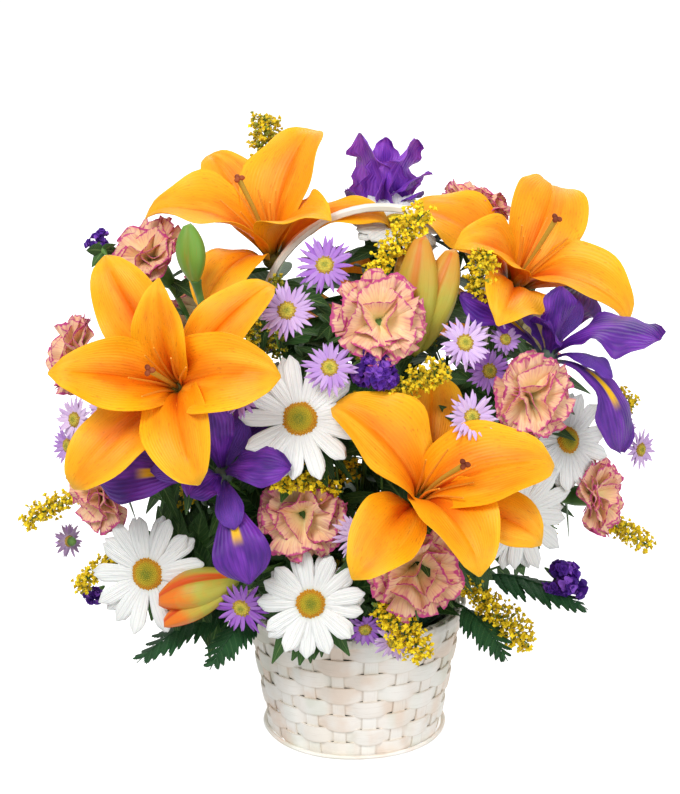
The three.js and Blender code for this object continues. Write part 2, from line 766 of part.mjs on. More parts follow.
function place(name, material, build) {
  const whole = build(0);
  const box = whole.boundingBox();
  const neighbours = placed.filter((other) => boxesMeet(box, other.box));
  const cut = neighbours.reduce((solid, other) => solid.subtract(other.room), whole);
  const [kept] = cut.decompose().sort((a, b) => b.volume() - a.volume());
  const lost = 1 - kept.volume() / whole.volume();
  if (lost > 0.12) console.warn(name + " loses " + Math.round(100 * lost) + " % where it meets others");
  const room = build(GAP + FLATNESS).add(whole);
  placed.push({ name, room, box: room.boundingBox() });
  const geometry = thinned(kept);
  geometry.computeVertexNormals();
  const mesh = new THREE.Mesh(geometry, material);
  mesh.name = name;
  arrangement.add(mesh);
}

// Stalks bend clear of the stalks and of the pieces that are already there

const laid = [];
const STALK_ROOM = 1.2;
const TRIES = 60;
const BRANCH = { sides: 3, steps: 4, apart: 2.5 };

function distanceBetween(a0, a1, b0, b1) {
  const [u, v, w] = [a1.clone().sub(a0), b1.clone().sub(b0), a0.clone().sub(b0)];
  const [a, b, c, d, e] = [u.dot(u), u.dot(v), v.dot(v), u.dot(w), v.dot(w)];
  const clamp = THREE.MathUtils.clamp;
  const det = a * c - b * b;
  let s = det > 1e-9 ? clamp((b * e - c * d) / det, 0, 1) : 0;
  const t = clamp((b * s + e) / c, 0, 1);
  s = clamp((b * t - d) / a, 0, 1);
  return a0.clone().addScaledVector(u, s).distanceTo(b0.clone().addScaledVector(v, t));
}

function roomRound(points, radius, owner) {
  let least = Infinity;
  for (const other of laid) {
    if (other.owner === owner) continue;
    for (let i = 0; i + 1 < points.length; i++) {
      const apart = distanceBetween(points[i], points[i + 1], other.from, other.to);
      least = Math.min(least, apart - radius - other.radius);
    }
  }
  return least;
}

function lay(points, radius, owner) {
  for (let i = 0; i + 1 < points.length; i++) {
    laid.push({ owner, from: points[i], to: points[i + 1], radius });
  }
}

function crossing(solid) {
  const box = solid.boundingBox();
  const neighbours = placed.filter((other) => boxesMeet(box, other.box));
  return neighbours.reduce((sum, other) => sum + solid.intersect(other.room).volume(), 0);
}

// A branch from the fork to the back of a bloom, by the nearest bow that keeps clear
function branch(owner, from, to, facing, radius) {
  const samples = 10;
  const reach = from.distanceTo(to);
  const before = to.clone().addScaledVector(facing, -Math.min(24, 0.3 * reach));
  let best = null;
  for (let k = 0; k < TRIES && !(best && best.clear); k++) {
    const far = 2.6 * Math.sqrt(k);
    const turn = k * GOLDEN_ANGLE;
    const middle = from.clone().lerp(before, 0.55);
    const rise = 0.5 * far * Math.sin(3 * turn);
    middle.add(new THREE.Vector3(far * Math.cos(turn), far * Math.sin(turn), rise));
    const curve = new THREE.CatmullRomCurve3([from, middle, before, to], false, "centripetal");
    const points = Array.from({ length: samples + 1 }, (_, i) => curve.getPoint(i / samples));
    const gap = roomRound(points.slice(1), radius, owner);
    const crossed = crossing(stalk(curve, radius, BRANCH.sides, BRANCH.steps, 0));
    const score = Math.max(0, STALK_ROOM - gap) * 20 + crossed;
    if (!best || score < best.score) best = { curve, points, score, crossed, clear: score === 0 };
  }
  if (best.crossed > 2) console.warn(owner + " branch crosses " + best.crossed.toFixed(0) + " cubic mm");
  lay(best.points, radius, owner);
  return (grow) => stalk(best.curve, radius, BRANCH.sides, BRANCH.steps, grow);
}

const onStemLine = ([x, y], z) => {
  const share = (z - STEM_ORIGIN.z) / (FOAM.top - STEM_ORIGIN.z);
  return new THREE.Vector3(x * share, y * share, z);
};

function mainStem(owner, { root, fork, radius }) {
  const [foot, top] = [onStemLine(root, STEM_FOOT_Z), onStemLine(root, fork + 0.8 * radius)];
  lay([foot, top], radius, owner);
  return (grow) => rod(foot, top, radius, 4, grow);
}

// Colours, by what they cover
const paint = (color, roughness) => new THREE.MeshStandardMaterial({ color, roughness, metalness: 0 });
const WHITEWASH = paint(0xe8e0d4, 0.75);
const LINER_GREEN = paint(0x2c4a34, 0.5);
const FOAM_GREEN = paint(0x2f5d3f, 0.95);
const LILY_ORANGE = paint(0xf79c1c, 0.5);
const STEM_GREEN = paint(0x4f7a35, 0.6);
const BUD_YELLOW = paint(0xd9a53a, 0.5);
const IRIS_PURPLE = paint(0x4a2a9a, 0.6);
const DAISY_WHITE = paint(0xf6f5ef, 0.6);
const CARNATION_PEACH = paint(0xe9a995, 0.65);
const ASTER_LILAC = paint(0xa98ad2, 0.6);
const STATICE_VIOLET = paint(0x4b2394, 0.8);
const GOLDENROD_YELLOW = paint(0xe4c21f, 0.7);
const FERN_GREEN = paint(0x1f4a2a, 0.6);

// Lilies: each tepal is [turn round the axis, opening angle, length, width]
const LILIES = {
  lily_front: {
    at: [38, -92, 191], facing: [0.23, -0.68, 0.69],
    tepals: [
      [10, 96, 100, 56], [87, 122, 90, 40], [151, 114, 98, 54],
      [232, 120, 90, 44], [291, 106, 94, 50], [337, 110, 88, 40],
    ],
  },
  lily_left: {
    at: [-108, -80, 260], facing: [-0.22, -0.87, 0.44],
    tepals: [
      [2, 114, 96, 50], [45, 126, 98, 36], [88, 66, 88, 34], [114, 100, 98, 44],
      [176, 68, 96, 44], [230, 114, 98, 42], [290, 116, 90, 44],
    ],
  },
  lily_back_left: {
    at: [-54, 20, 318], facing: [-0.14, -0.39, 0.91],
    tepals: [
      [60, 88, 98, 52], [118, 82, 86, 38], [180, 103, 100, 50],
      [238, 134, 86, 40], [324, 82, 80, 42], [3, 126, 90, 30],
    ],
  },
  lily_right: {
    at: [102, 10, 300], facing: [0.34, -0.47, 0.81],
    tepals: [
      [74, 116, 94, 52], [160, 126, 96, 50], [199, 98, 84, 40],
      [246, 98, 90, 46], [328, 119, 98, 46], [8, 140, 88, 34],
    ],
  },
  lily_rear: {
    at: [14, 92, 226], facing: [0.08, 0.82, 0.56],
    tepals: [
      [20, 100, 92, 50], [80, 108, 88, 40], [140, 100, 92, 50],
      [200, 112, 88, 40], [262, 104, 92, 50], [318, 108, 88, 40],
    ],
  },
};

// Irises: each blade has its turn, the angle that its tip reaches and its length, perhaps its width,
// and perhaps its waist: under 1 it is widest near its foot
const blades = (...rows) =>
  rows.map(([turn, to, long, wide, waist]) => ({ turn, to, long, wide, waist }));
const IRISES = {
  iris_left: {
    at: [-82, -84, 206], facing: [-0.1, -0.8, 0.55],
    falls: blades([183, 118, 76], [284, 128, 72], [60, 100, 56, 28]),
    standards: blades([92, 60, 58], [352, 108, 62], [235, 70, 44]),
    arms: blades([183, 100, 46], [284, 110, 44], [60, 80, 38]),
  },
  iris_right: {
    at: [121, -48, 272], facing: [0.3, -0.36, 0.86],
    falls: blades([172, 92, 66], [318, 170, 84], [70, 110, 66]),
    standards: blades([340, 98, 80, 46], [120, 30, 46], [220, 60, 40]),
    arms: blades([172, 60, 38], [318, 110, 48], [70, 60, 38]),
  },
  iris_top: {
    at: [18, 48, 334], facing: [0.02, 0.1, 1],
    falls: blades([90, 130, 62], [215, 120, 58], [330, 120, 60]),
    standards: blades(
      [220, 32, 64, 40, 0.65], [275, 8, 58, 30, 0.65], [320, 44, 64, 40, 0.65], [335, 84, 52, 22, 0.65],
    ),
    arms: blades([90, 70, 36], [215, 70, 36], [330, 70, 36]),
  },
};

const DAISIES = {
  daisy_centre: { at: [-34, -98, 246], facing: [-0.12, -0.88, 0.42], radius: 40, seed: 11 },
  daisy_low_left: { at: [-131, -74, 136], facing: [-0.3, -0.92, 0.2], radius: 39, seed: 12 },
  daisy_low_centre: { at: [-28, -104, 128], facing: [0.04, -0.97, 0.22], radius: 34, seed: 13 },
  daisy_right: { at: [102, -78, 178], facing: [0.45, -0.86, 0.1], radius: 38, seed: 14 },
  daisy_far_right: { at: [134, -48, 216], facing: [0.55, -0.75, 0.3], radius: 32, seed: 15 },
  daisy_top: { at: [27, 17, 342], facing: [0.05, -0.42, 0.9], radius: 31, seed: 16 },
  daisy_rear_left: { at: [-78, 94, 196], facing: [-0.45, 0.85, 0.3], radius: 38, seed: 17 },
  daisy_rear_right: { at: [96, 88, 172], facing: [0.5, 0.84, 0.2], radius: 38, seed: 18 },
};

const CARNATIONS = {
  carnation_top_left: { at: [-131, 0, 322], facing: [-0.5, -0.4, 0.78], radius: 27, seed: 21 },
  carnation_far_left: { at: [-176, -14, 262], facing: [-0.9, -0.3, 0.3], radius: 27, seed: 22 },
  carnation_low_left: { at: [-160, -48, 180], facing: [-0.72, -0.62, -0.24], radius: 25, seed: 23 },
  carnation_centre: { at: [14, -80, 303], facing: [0.06, -0.86, 0.48], radius: 29, seed: 24 },
  carnation_right: { at: [107, -80, 255], facing: [0.36, -0.88, 0.28], radius: 27, seed: 25 },
  carnation_low_centre: { at: [-33, -86, 180], facing: [-0.06, -0.98, 0.16], radius: 28, seed: 26 },
  carnation_low_front: { at: [37, -96, 148], facing: [0.15, -0.98, -0.05], radius: 30, seed: 27 },
  carnation_far_right: { at: [152, -40, 176], facing: [0.84, -0.44, 0.14], radius: 25, seed: 28 },
  carnation_top_right: { at: [78, 40, 346], facing: [0.3, 0.05, 0.95], radius: 24, seed: 29 },
  carnation_rear_left: { at: [-98, 82, 268], facing: [-0.5, 0.72, 0.45], radius: 28, seed: 30 },
  carnation_rear_right: { at: [112, 74, 250], facing: [0.55, 0.7, 0.4], radius: 28, seed: 31 },
};

// Buds: where each starts, the way it points, its length and its width
const BUDS = {
  lily_bud_pair: {
    stem: "lily_stem_front",
    buds: [
      { at: [36, -60, 274], facing: [0.06, 0.12, 1], long: 76, wide: 26 },
      { at: [40, -57, 276], facing: [0.3, 0.16, 0.95], long: 68, wide: 24 },
      { at: [36, -54, 276], facing: [-0.06, 0.3, 0.95], long: 66, wide: 22 },
    ],
  },
  lily_bud_low: {
    stem: "lily_stem_left",
    buds: [
      { at: [-72, -86, 138], facing: [-0.96, -0.1, -0.26], long: 54, wide: 26 },
      { at: [-74, -88, 136], facing: [-0.86, -0.1, -0.5], long: 54, wide: 18 },
    ],
  },
};
const GREEN_BUD = { at: [-99, -50, 318], facing: [-0.1, -0.02, 1], long: 38, wide: 20 };

// Stemmed plants: one stem in the foam to its fork, and a branch to each bloom
const PLANTS = {
  lily_stem_left: {
    root: [-28, -4], fork: 135, radius: 3.2,
    lilies: ["lily_left", "lily_back_left"], green: GREEN_BUD,
  },
  lily_stem_front: { root: [12, -24], fork: 122, radius: 3.2, lilies: ["lily_front"] },
  lily_stem_right: { root: [34, 4], fork: 140, radius: 3.2, lilies: ["lily_right", "lily_rear"] },
  iris_stem_left: { root: [-22, -26], fork: 120, radius: 3, irises: ["iris_left"] },
  iris_stem_right: { root: [42, -16], fork: 132, radius: 3, irises: ["iris_right"] },
  iris_stem_top: { root: [4, 14], fork: 160, radius: 3, irises: ["iris_top"] },
  daisy_stem_left: {
    root: [-14, -44], fork: 112, radius: 2,
    daisies: ["daisy_centre", "daisy_low_left", "daisy_low_centre", "daisy_rear_left"],
  },
  daisy_stem_right: {
    root: [30, -36], fork: 112, radius: 2,
    daisies: ["daisy_right", "daisy_far_right", "daisy_top", "daisy_rear_right"],
  },
  carnation_stem_left: {
    root: [-44, -14], fork: 122, radius: 2,
    carnations: ["carnation_top_left", "carnation_far_left", "carnation_low_left", "carnation_rear_left"],
  },
  carnation_stem_middle: {
    root: [0, -34], fork: 120, radius: 2,
    carnations: ["carnation_centre", "carnation_low_centre", "carnation_low_front"],
  },
  carnation_stem_right: {
    root: [46, -4], fork: 122, radius: 2,
    carnations: ["carnation_right", "carnation_far_right", "carnation_top_right", "carnation_rear_right"],
  },
};

// Sprays: the heads or plumes of one stem, fused to it
const SPRAYS = {
  aster_spray_left: {
    root: [-42, 6], fork: 115, radius: 1.6, material: ASTER_LILAC,
    asters: [
      [-178, -36, 226, 16], [-186, -10, 200, 15], [-190, 6, 128, 13], [-71, -96, 122, 20],
      [-70, -104, 262, 14], [-158, -56, 240, 12], [-140, 60, 200, 17],
    ],
  },
  aster_spray_middle: {
    root: [-6, -14], fork: 140, radius: 1.6, material: ASTER_LILAC,
    asters: [
      [-19, -62, 333, 20], [-42, -76, 308, 20], [-16, -100, 279, 18], [2, -108, 174, 18],
      [6, -92, 106, 13], [24, -98, 100, 15], [-20, 84, 300, 18],
    ],
  },
  aster_spray_right: {
    root: [22, -8], fork: 135, radius: 1.6, material: ASTER_LILAC,
    asters: [
      [66, -84, 290, 18], [82, -70, 268, 16], [70, -100, 248, 17], [92, -62, 286, 11],
      [184, -18, 200, 14], [170, -36, 222, 11], [140, 40, 210, 17],
    ],
  },
  statice_left: {
    root: [-36, 20], fork: 108, radius: 1.5, material: STATICE_VIOLET,
    statice: [[-165, 6, 332, 9], [-174, -10, 96, 8], [-60, 104, 246, 14]],
  },
  statice_right: {
    root: [18, -44], fork: 106, radius: 1.5, material: STATICE_VIOLET,
    statice: [[12, -96, 276, 15], [134, -60, 124, 15]],
  },
  goldenrod_left: {
    root: [-18, 12], fork: 130, radius: 1.6, material: GOLDENROD_YELLOW,
    plumes: [
      { from: [-57, 55, 349], to: [-59, 60, 404], wide: 24 },
      { from: [-62, -24, 272], to: [-84, -30, 306], wide: 24 },
      { from: [-176, -8, 165], to: [-219, -5, 143], wide: 16 },
      { from: [-156, -22, 128], to: [-182, -25, 104], wide: 14 },
      { from: [-120, 84, 220], to: [-158, 96, 246], wide: 22 },
    ],
  },
  goldenrod_middle: {
    root: [4, -46], fork: 106, radius: 1.6, material: GOLDENROD_YELLOW,
    plumes: [
      { from: [5, -58, 318], to: [45, -28, 360], wide: 24 },
      { from: [9, -92, 251], to: [56, -98, 276], wide: 20 },
      { from: [-8, -92, 197], to: [-57, -106, 210], wide: 18 },
      { from: [10, -98, 126], to: [44, -108, 92], wide: 26 },
    ],
  },
  goldenrod_right: {
    root: [38, 20], fork: 118, radius: 1.6, material: GOLDENROD_YELLOW,
    plumes: [
      { from: [66, -66, 126], to: [113, -74, 84], wide: 24 },
      { from: [72, -52, 296], to: [80, -46, 338], wide: 20 },
      { from: [156, -10, 148], to: [195, -12, 130], wide: 16 },
      { from: [156, -22, 238], to: [178, -30, 232], wide: 14 },
      { from: [44, 96, 150], to: [76, 112, 128], wide: 24 },
    ],
  },
  fern_left: {
    root: [-34, -32], fork: 100, radius: 1.4, material: FERN_GREEN,
    leaves: [
      { from: [-82, -50, 106], to: [-140, -72, 74], wide: 34 },
      { from: [-66, -66, 104], to: [-92, -92, 78], wide: 26 },
    ],
  },
  fern_right: {
    root: [40, -28], fork: 100, radius: 1.4, material: FERN_GREEN,
    leaves: [
      { from: [90, -50, 126], to: [148, -70, 110], wide: 34 },
      { from: [70, -64, 108], to: [96, -92, 84], wide: 26 },
    ],
  },
  fern_rear_left: {
    root: [-26, 38], fork: 100, radius: 1.4, material: FERN_GREEN,
    leaves: [
      { from: [-60, 64, 110], to: [-110, 108, 96], wide: 34 },
    ],
  },
  fern_rear_right: {
    root: [26, 38], fork: 100, radius: 1.4, material: FERN_GREEN,
    leaves: [
      { from: [62, 56, 112], to: [118, 92, 104], wide: 34 },
    ],
  },
};

const THIN = 0.8;

// Branches leave the stem one above the other
function forks({ root, fork }) {
  let height = fork + BRANCH.apart;
  return () => {
    height -= BRANCH.apart;
    return onStemLine(root, height);
  };
}

function plantPieces(name, plant) {
  const pieces = [mainStem(name, plant)];
  const nextFork = forks(plant);
  const branchTo = (bloom, depth) => {
    const frame = frameOf(bloom);
    pieces.push(branch(name, nextFork(), along(frame, depth), frame.out, plant.radius * THIN));
  };
  for (const lily of plant.lilies ?? []) {
    branchTo(LILIES[lily], -2);
    pieces.push((grow) => lilyMiddle(LILIES[lily], grow));
  }
  for (const iris of plant.irises ?? []) branchTo(IRISES[iris], -2);
  for (const daisy of plant.daisies ?? []) {
    branchTo(DAISIES[daisy], -7);
    pieces.push((grow) => daisyMiddle(DAISIES[daisy], grow));
  }
  for (const carnation of plant.carnations ?? []) {
    branchTo(CARNATIONS[carnation], CALYX.top - CALYX.long + 3);
    pieces.push((grow) => carnationCalyx(CARNATIONS[carnation], grow));
  }
  if (plant.green) {
    branchTo(plant.green, 3);
    pieces.push((grow) => lilyBud(plant.green, grow));
  }
  for (const cluster of Object.values(BUDS)) {
    if (cluster.stem === name) branchTo(cluster.buds[0], -0.5);
  }
  return pieces;
}

function sprayPieces(name, spray) {
  const pieces = [mainStem(name, spray)];
  const nextFork = forks(spray);
  const join = (to, facing) => pieces.push(branch(name, nextFork(), to, facing, spray.radius * THIN));
  const heads = (list, build, depth) =>
    (list ?? []).forEach(([x, y, z, radius], k) => {
      const bloom = { at: [x, y, z], radius, seed: k + 1 };
      const frame = frameOf(bloom);
      join(along(frame, depth(radius)), frame.out);
      pieces.push((grow) => build(bloom, grow));
    });
  heads(spray.asters, asterHead, () => -3.4);
  heads(spray.statice, staticeHead, (radius) => -0.8 * radius);
  const runners = [...(spray.plumes ?? []), ...(spray.leaves ?? [])];
  runners.forEach((runner, k) => {
    const direction = vec(runner.to).sub(vec(runner.from)).normalize();
    join(vec(runner.from).addScaledVector(direction, 2), direction);
    const build = spray.plumes ? plume : fernLeaf;
    pieces.push((grow) => build({ ...runner, seed: k + 1 }, grow));
  });
  return pieces;
}

const together = (pieces) => (grow) => fused(pieces.map((piece) => piece(grow)));

function placeAll(group, material, build) {
  for (const [name, bloom] of Object.entries(group)) place(name, material, (grow) => build(bloom, grow));
}

place("basket_wall", WHITEWASH, basketWall);
place("basket_base", WHITEWASH, basketBase);
place("basket_foot", WHITEWASH, basketFoot);
place("basket_handle", WHITEWASH, basketHandle);
place("basket_rim", WHITEWASH, basketRim);
place("liner", LINER_GREEN, liner);
for (const [name, plant] of Object.entries({ ...PLANTS, ...SPRAYS })) {
  lay([onStemLine(plant.root, STEM_FOOT_Z), onStemLine(plant.root, plant.fork)], plant.radius, name);
}
for (const [name, plant] of Object.entries(PLANTS)) {
  place(name, STEM_GREEN, together(plantPieces(name, plant)));
}
placeAll(LILIES, LILY_ORANGE, lilyBloom);
for (const [name, cluster] of Object.entries(BUDS)) {
  place(name, BUD_YELLOW, together(cluster.buds.map((bud) => (grow) => lilyBud(bud, grow))));
}
placeAll(IRISES, IRIS_PURPLE, irisBloom);
placeAll(DAISIES, DAISY_WHITE, daisyRays);
placeAll(CARNATIONS, CARNATION_PEACH, carnationHead);
for (const [name, spray] of Object.entries(SPRAYS)) {
  place(name, spray.material, together(sprayPieces(name, spray)));
}
place("foam", FOAM_GREEN, foam);

export default arrangement;
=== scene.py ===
"""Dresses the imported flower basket.

A whitewashed chip basket with a hoop, a liner and soaked foam carries lilies, irises, daisies,
carnations, asters, statice, goldenrod and fern. Sizes are in millimetres until a piece is made.
"""

from __future__ import annotations

import logging
import math
from dataclasses import dataclass, field
from enum import Enum
from functools import lru_cache
from typing import Callable, Iterable, Mapping, Sequence

import bpy
import numpy as np
from bpy.types import Material, Object
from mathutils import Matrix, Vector


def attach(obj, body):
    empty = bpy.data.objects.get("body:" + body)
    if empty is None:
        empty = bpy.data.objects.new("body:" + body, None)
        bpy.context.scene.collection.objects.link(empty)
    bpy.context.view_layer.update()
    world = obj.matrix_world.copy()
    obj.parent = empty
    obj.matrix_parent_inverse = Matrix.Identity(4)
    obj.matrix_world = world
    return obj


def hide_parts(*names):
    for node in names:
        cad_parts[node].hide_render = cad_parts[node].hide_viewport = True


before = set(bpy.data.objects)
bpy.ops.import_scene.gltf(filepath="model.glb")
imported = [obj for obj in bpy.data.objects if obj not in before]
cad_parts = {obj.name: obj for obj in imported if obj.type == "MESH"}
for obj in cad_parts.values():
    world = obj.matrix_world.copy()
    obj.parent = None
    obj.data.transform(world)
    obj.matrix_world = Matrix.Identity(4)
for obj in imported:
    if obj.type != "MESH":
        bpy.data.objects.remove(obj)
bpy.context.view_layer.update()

LOG = logging.getLogger("flower_basket")
MM = 0.001
GOLDEN_ANGLE = 2.39996
Array = np.ndarray
Point = Sequence[float]
Surface = Callable[[Array, Array], Array]

# The basket's sizes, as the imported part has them
FOOT_RADIUS, MOUTH_RADIUS, BASKET_HEIGHT = 56.0, 71.0, 85.0
WALL, WEAVE_RELIEF, STAKES, WEAVE_ROWS = 3.2, 1.3, 20, 8
FOAM_TOP = 96.0
STEM_ORIGIN_Z = -200.0
UPWARD = np.array([0.0, 0.0, 1.0])
HEART = np.array([0.0, 10.0, 165.0])
FLOWERS_MIDDLE, FLOWERS_REACH = np.array([0.0, 0.0, 215.0]), np.array([126.0, 88.0, 134.0])
FRONT_LEAN = 0.9
GROWTH_TURN = 9.5
FULL_TURN = 2 * math.pi

# How many tufts a statice head has, and how many sprigs a goldenrod plant tries to grow
TUFTS, SPRIGS = 7, 46

# A sprig's length, the greatest gap that it crosses, and its least height over the foam
SPRIG, SPRIG_GAP, SPRIG_LOW = 24.0, 75.0, 14.0

# A petal's phase is drawn from 0 to PHASE_END, and divided by PHASE_SPAN it is a tint
PHASE_END, PHASE_SPAN = 6.28, 7

# Where the random draws of each kind start, and how far apart those of two sprays are
LILY_SEED, PISTIL_SEED, IRIS_SEED, DAISY_SEED, CARNATION_SEED = 40, 100, 50, 60, 80
PLANT_SEED, SPRAY_SEED, SPRAY_SEEDS = 120, 200, 20

# Values that all finishes share
SHEEN, SUBSURFACE_DEPTH = 0.3, 0.004


def unit(vectors: Array) -> Array:
    """Vectors of length one that point the same way."""
    vectors = np.asarray(vectors, float)
    return vectors / np.maximum(np.linalg.norm(vectors, axis=-1, keepdims=True), 1e-9)


def columns(*parts: Array | float) -> Array:
    """Numbers for each corner as the columns of one array."""
    return np.stack(np.broadcast_arrays(*parts), axis=-1)


def polar(corners: Array) -> tuple[Array, Array]:
    """The turn of each corner about the upright axis, and its distance from that axis."""
    return np.arctan2(corners[:, 1], corners[:, 0]), np.hypot(corners[:, 0], corners[:, 1])


def nearest(places: Array, spot: Array) -> Array:
    """The one of the places that lies nearest to a spot."""
    return places[np.argmin(((places - spot) ** 2).sum(axis=1))]


def wall_radius(z: Array | float) -> Array | float:
    """The basket's radius at a height."""
    return FOOT_RADIUS + (MOUTH_RADIUS - FOOT_RADIUS) * z / BASKET_HEIGHT


def shade(code: str) -> tuple[float, float, float, float]:
    """A colour for a node socket.

    Args:
        code: six hexadecimal digits, red, green and blue.

    Returns:
        The colour in linear light, with full alpha.
    """
    parts = [int(code[i : i + 2], 16) / 255 for i in (0, 2, 4)]
    red, green, blue = (((c + 0.055) / 1.055) ** 2.4 if c > 0.04 else c / 12.92 for c in parts)
    return red, green, blue, 1.0


# Modelling


class Bench:
    """Blender's modelling steps, with only the piece in hand selected."""

    @staticmethod
    def hold(piece: Object) -> Object:
        """Selects one piece alone and makes it active.

        Args:
            piece: the piece to hold.

        Returns:
            The same piece.
        """
        bpy.ops.object.select_all(action="DESELECT")
        piece.select_set(True)
        bpy.context.view_layer.objects.active = piece
        return piece

    @staticmethod
    def add(primitive: Callable[..., object], **sizes: object) -> Object:
        """Adds a primitive, with nothing selected before it, and holds it.

        Args:
            primitive: the operator that adds it.
            sizes: the operator's values.

        Returns:
            The new piece.
        """
        bpy.ops.object.select_all(action="DESELECT")
        primitive(**sizes)
        return Bench.hold(bpy.context.active_object)

    @staticmethod
    def edit(piece: Object, *steps: Callable[[], object]) -> Object:
        """Runs steps in edit mode on all of a piece.

        Args:
            piece: the piece to shape.
            steps: calls of edit mode operators, in order.

        Returns:
            The same piece, in object mode.
        """
        Bench.hold(piece)
        bpy.ops.object.mode_set(mode="EDIT")
        bpy.ops.mesh.select_all(action="SELECT")
        for step in steps:
            step()
        bpy.ops.object.mode_set(mode="OBJECT")
        return piece

    @staticmethod
    def apply(piece: Object, kind: str, **settings: object) -> Object:
        """Adds a modifier and applies it.

        Args:
            piece: the piece to change.
            kind: the modifier's type.
            settings: values of the modifier's properties.

        Returns:
            The same piece.
        """
        Bench.hold(piece)
        modifier = piece.modifiers.new(kind.title(), kind)
        for name, value in settings.items():
            setattr(modifier, name, value)
        bpy.ops.object.modifier_apply(modifier=modifier.name)
        return piece

    @staticmethod
    def raised(cuts: int, height: float) -> Callable[[], None]:
        """A step that extrudes the selection upward several times by the same height.

        Args:
            cuts: how many times it extrudes.
            height: how far each time.

        Returns:
            The step, for Bench.edit.
        """

        def run() -> None:
            """Extrudes the selection."""
            for _ in range(cuts):
                bpy.ops.mesh.extrude_region_move(TRANSFORM_OT_translate={"value": (0, 0, height)})

        return run


@dataclass
class Shape:
    """A form in millimetres.

    Attributes:
        corners: one row for each corner.
        faces: four corners for each face, the last of them -1 for a triangle.
        growth: for each corner, how far along and how far across its petal it lies, and a tint.
    """

    corners: Array
    faces: Array
    growth: Array

    @classmethod
    def taken(cls, piece: Object, scale: float = 1.0) -> Shape:
        """Reads a modelled piece and clears it off the bench.

        Args:
            piece: a mesh object at the origin.
            scale: millimetres for each unit of the mesh.

        Returns:
            Its form, its growth all zero.
        """
        Bench.apply(piece, "TRIANGULATE", min_vertices=5)
        Bench.hold(piece)
        bpy.ops.object.transform_apply(location=True, rotation=True, scale=True)
        mesh = piece.data
        corners = np.zeros(3 * len(mesh.vertices))
        mesh.vertices.foreach_get("co", corners)
        faces = np.full((len(mesh.polygons), 4), -1)
        for row, polygon in zip(faces, mesh.polygons):
            row[: len(polygon.vertices)] = polygon.vertices
        bpy.data.objects.remove(piece)
        bpy.data.meshes.remove(mesh)
        corners = corners.reshape(-1, 3) * scale
        return cls(corners, faces, np.zeros_like(corners))

    @classmethod
    def joined(cls, shapes: Iterable[Shape]) -> Shape:
        """Several forms as one.

        Args:
            shapes: the forms to join.

        Returns:
            The joined form.
        """
        shapes = list(shapes)
        starts = np.cumsum([0] + [len(s.corners) for s in shapes[:-1]])
        faces = [np.where(s.faces < 0, -1, s.faces + n) for s, n in zip(shapes, starts)]
        corners = np.concatenate([s.corners for s in shapes])
        return cls(corners, np.concatenate(faces), np.concatenate([s.growth for s in shapes]))

    def volume(self) -> float:
        """Six times the signed volume.

        Returns:
            Six times the volume, below 0 where the faces point in.
        """
        a, b, c, d = (self.corners[self.faces[:, k]] for k in range(4))
        first = np.einsum("ij,ij->i", a, np.cross(b, c))
        second = np.einsum("ij,ij->i", a, np.cross(c, d))
        return float(first.sum() + second[self.faces[:, 3] >= 0].sum())

    def outward(self) -> Shape:
        """The same form with its faces pointing out.

        Returns:
            The form itself, or a copy with its faces turned round.
        """
        if self.volume() >= 0:
            return self
        turned = self.faces[:, [0, 2, 1, 3]]
        quads = self.faces[:, 3] >= 0
        turned[quads] = self.faces[quads][:, [3, 2, 1, 0]]
        return Shape(self.corners, turned, self.growth)

    def formed(self, corners: Array, tint: float = 0.0, growth: Array | None = None) -> Shape:
        """A copy of the form with its corners in new places.

        Args:
            corners: the new place of each corner.
            tint: the third value of the copy's growth.
            growth: the copy's growth, where it isn't the form's own.

        Returns:
            The copy, its faces pointing out.
        """
        growth = (self.growth if growth is None else growth).copy()
        growth[:, 2] = tint
        return Shape(corners, self.faces, growth).outward()

    def scattered(self, places: Array, turns: Array, growth: Array) -> Shape:
        """Many copies of a small form.

        Args:
            places: where each copy goes.
            turns: for each copy, the three rows that its own axes turn into, with its size.
            growth: the growth of each copy.

        Returns:
            The copies as one form.
        """
        count, size = len(places), len(self.corners)
        corners = np.einsum("ni,kij->knj", self.corners, turns) + places[:, None]
        shift = (np.arange(count) * size)[:, None, None]
        faces = np.where(self.faces[None] < 0, -1, self.faces[None] + shift)
        return Shape(corners.reshape(-1, 3), faces.reshape(-1, 4), np.repeat(growth, size, axis=0))

    def piece(self, name: str, material: Material, sharp: float = 60.0) -> Object:
        """Makes a Blender piece.

        Args:
            name: the piece's name.
            material: its finish.
            sharp: the least angle in degrees of an edge that stays sharp.

        Returns:
            The piece, at the origin, in metres.
        """
        mesh = bpy.data.meshes.new(name)
        loops = self.faces[self.faces >= 0]
        sizes = (self.faces >= 0).sum(axis=1)
        mesh.vertices.add(len(self.corners))
        mesh.loops.add(len(loops))
        mesh.polygons.add(len(sizes))
        mesh.vertices.foreach_set("co", (self.corners * MM).ravel().astype(np.float32))
        mesh.loops.foreach_set("vertex_index", loops.astype(np.int32))
        starts = np.concatenate([[0], np.cumsum(sizes)[:-1]])
        mesh.polygons.foreach_set("loop_start", starts.astype(np.int32))
        mesh.update(calc_edges=True)
        grown = mesh.attributes.new("growth", "FLOAT_VECTOR", "POINT")
        grown.data.foreach_set("vector", self.growth.ravel().astype(np.float32))
        mesh.materials.append(material)
        made = bpy.data.objects.new(name, mesh)
        bpy.context.scene.collection.objects.link(made)
        Bench.hold(made)
        bpy.ops.object.shade_smooth_by_angle(angle=math.radians(sharp))
        return made


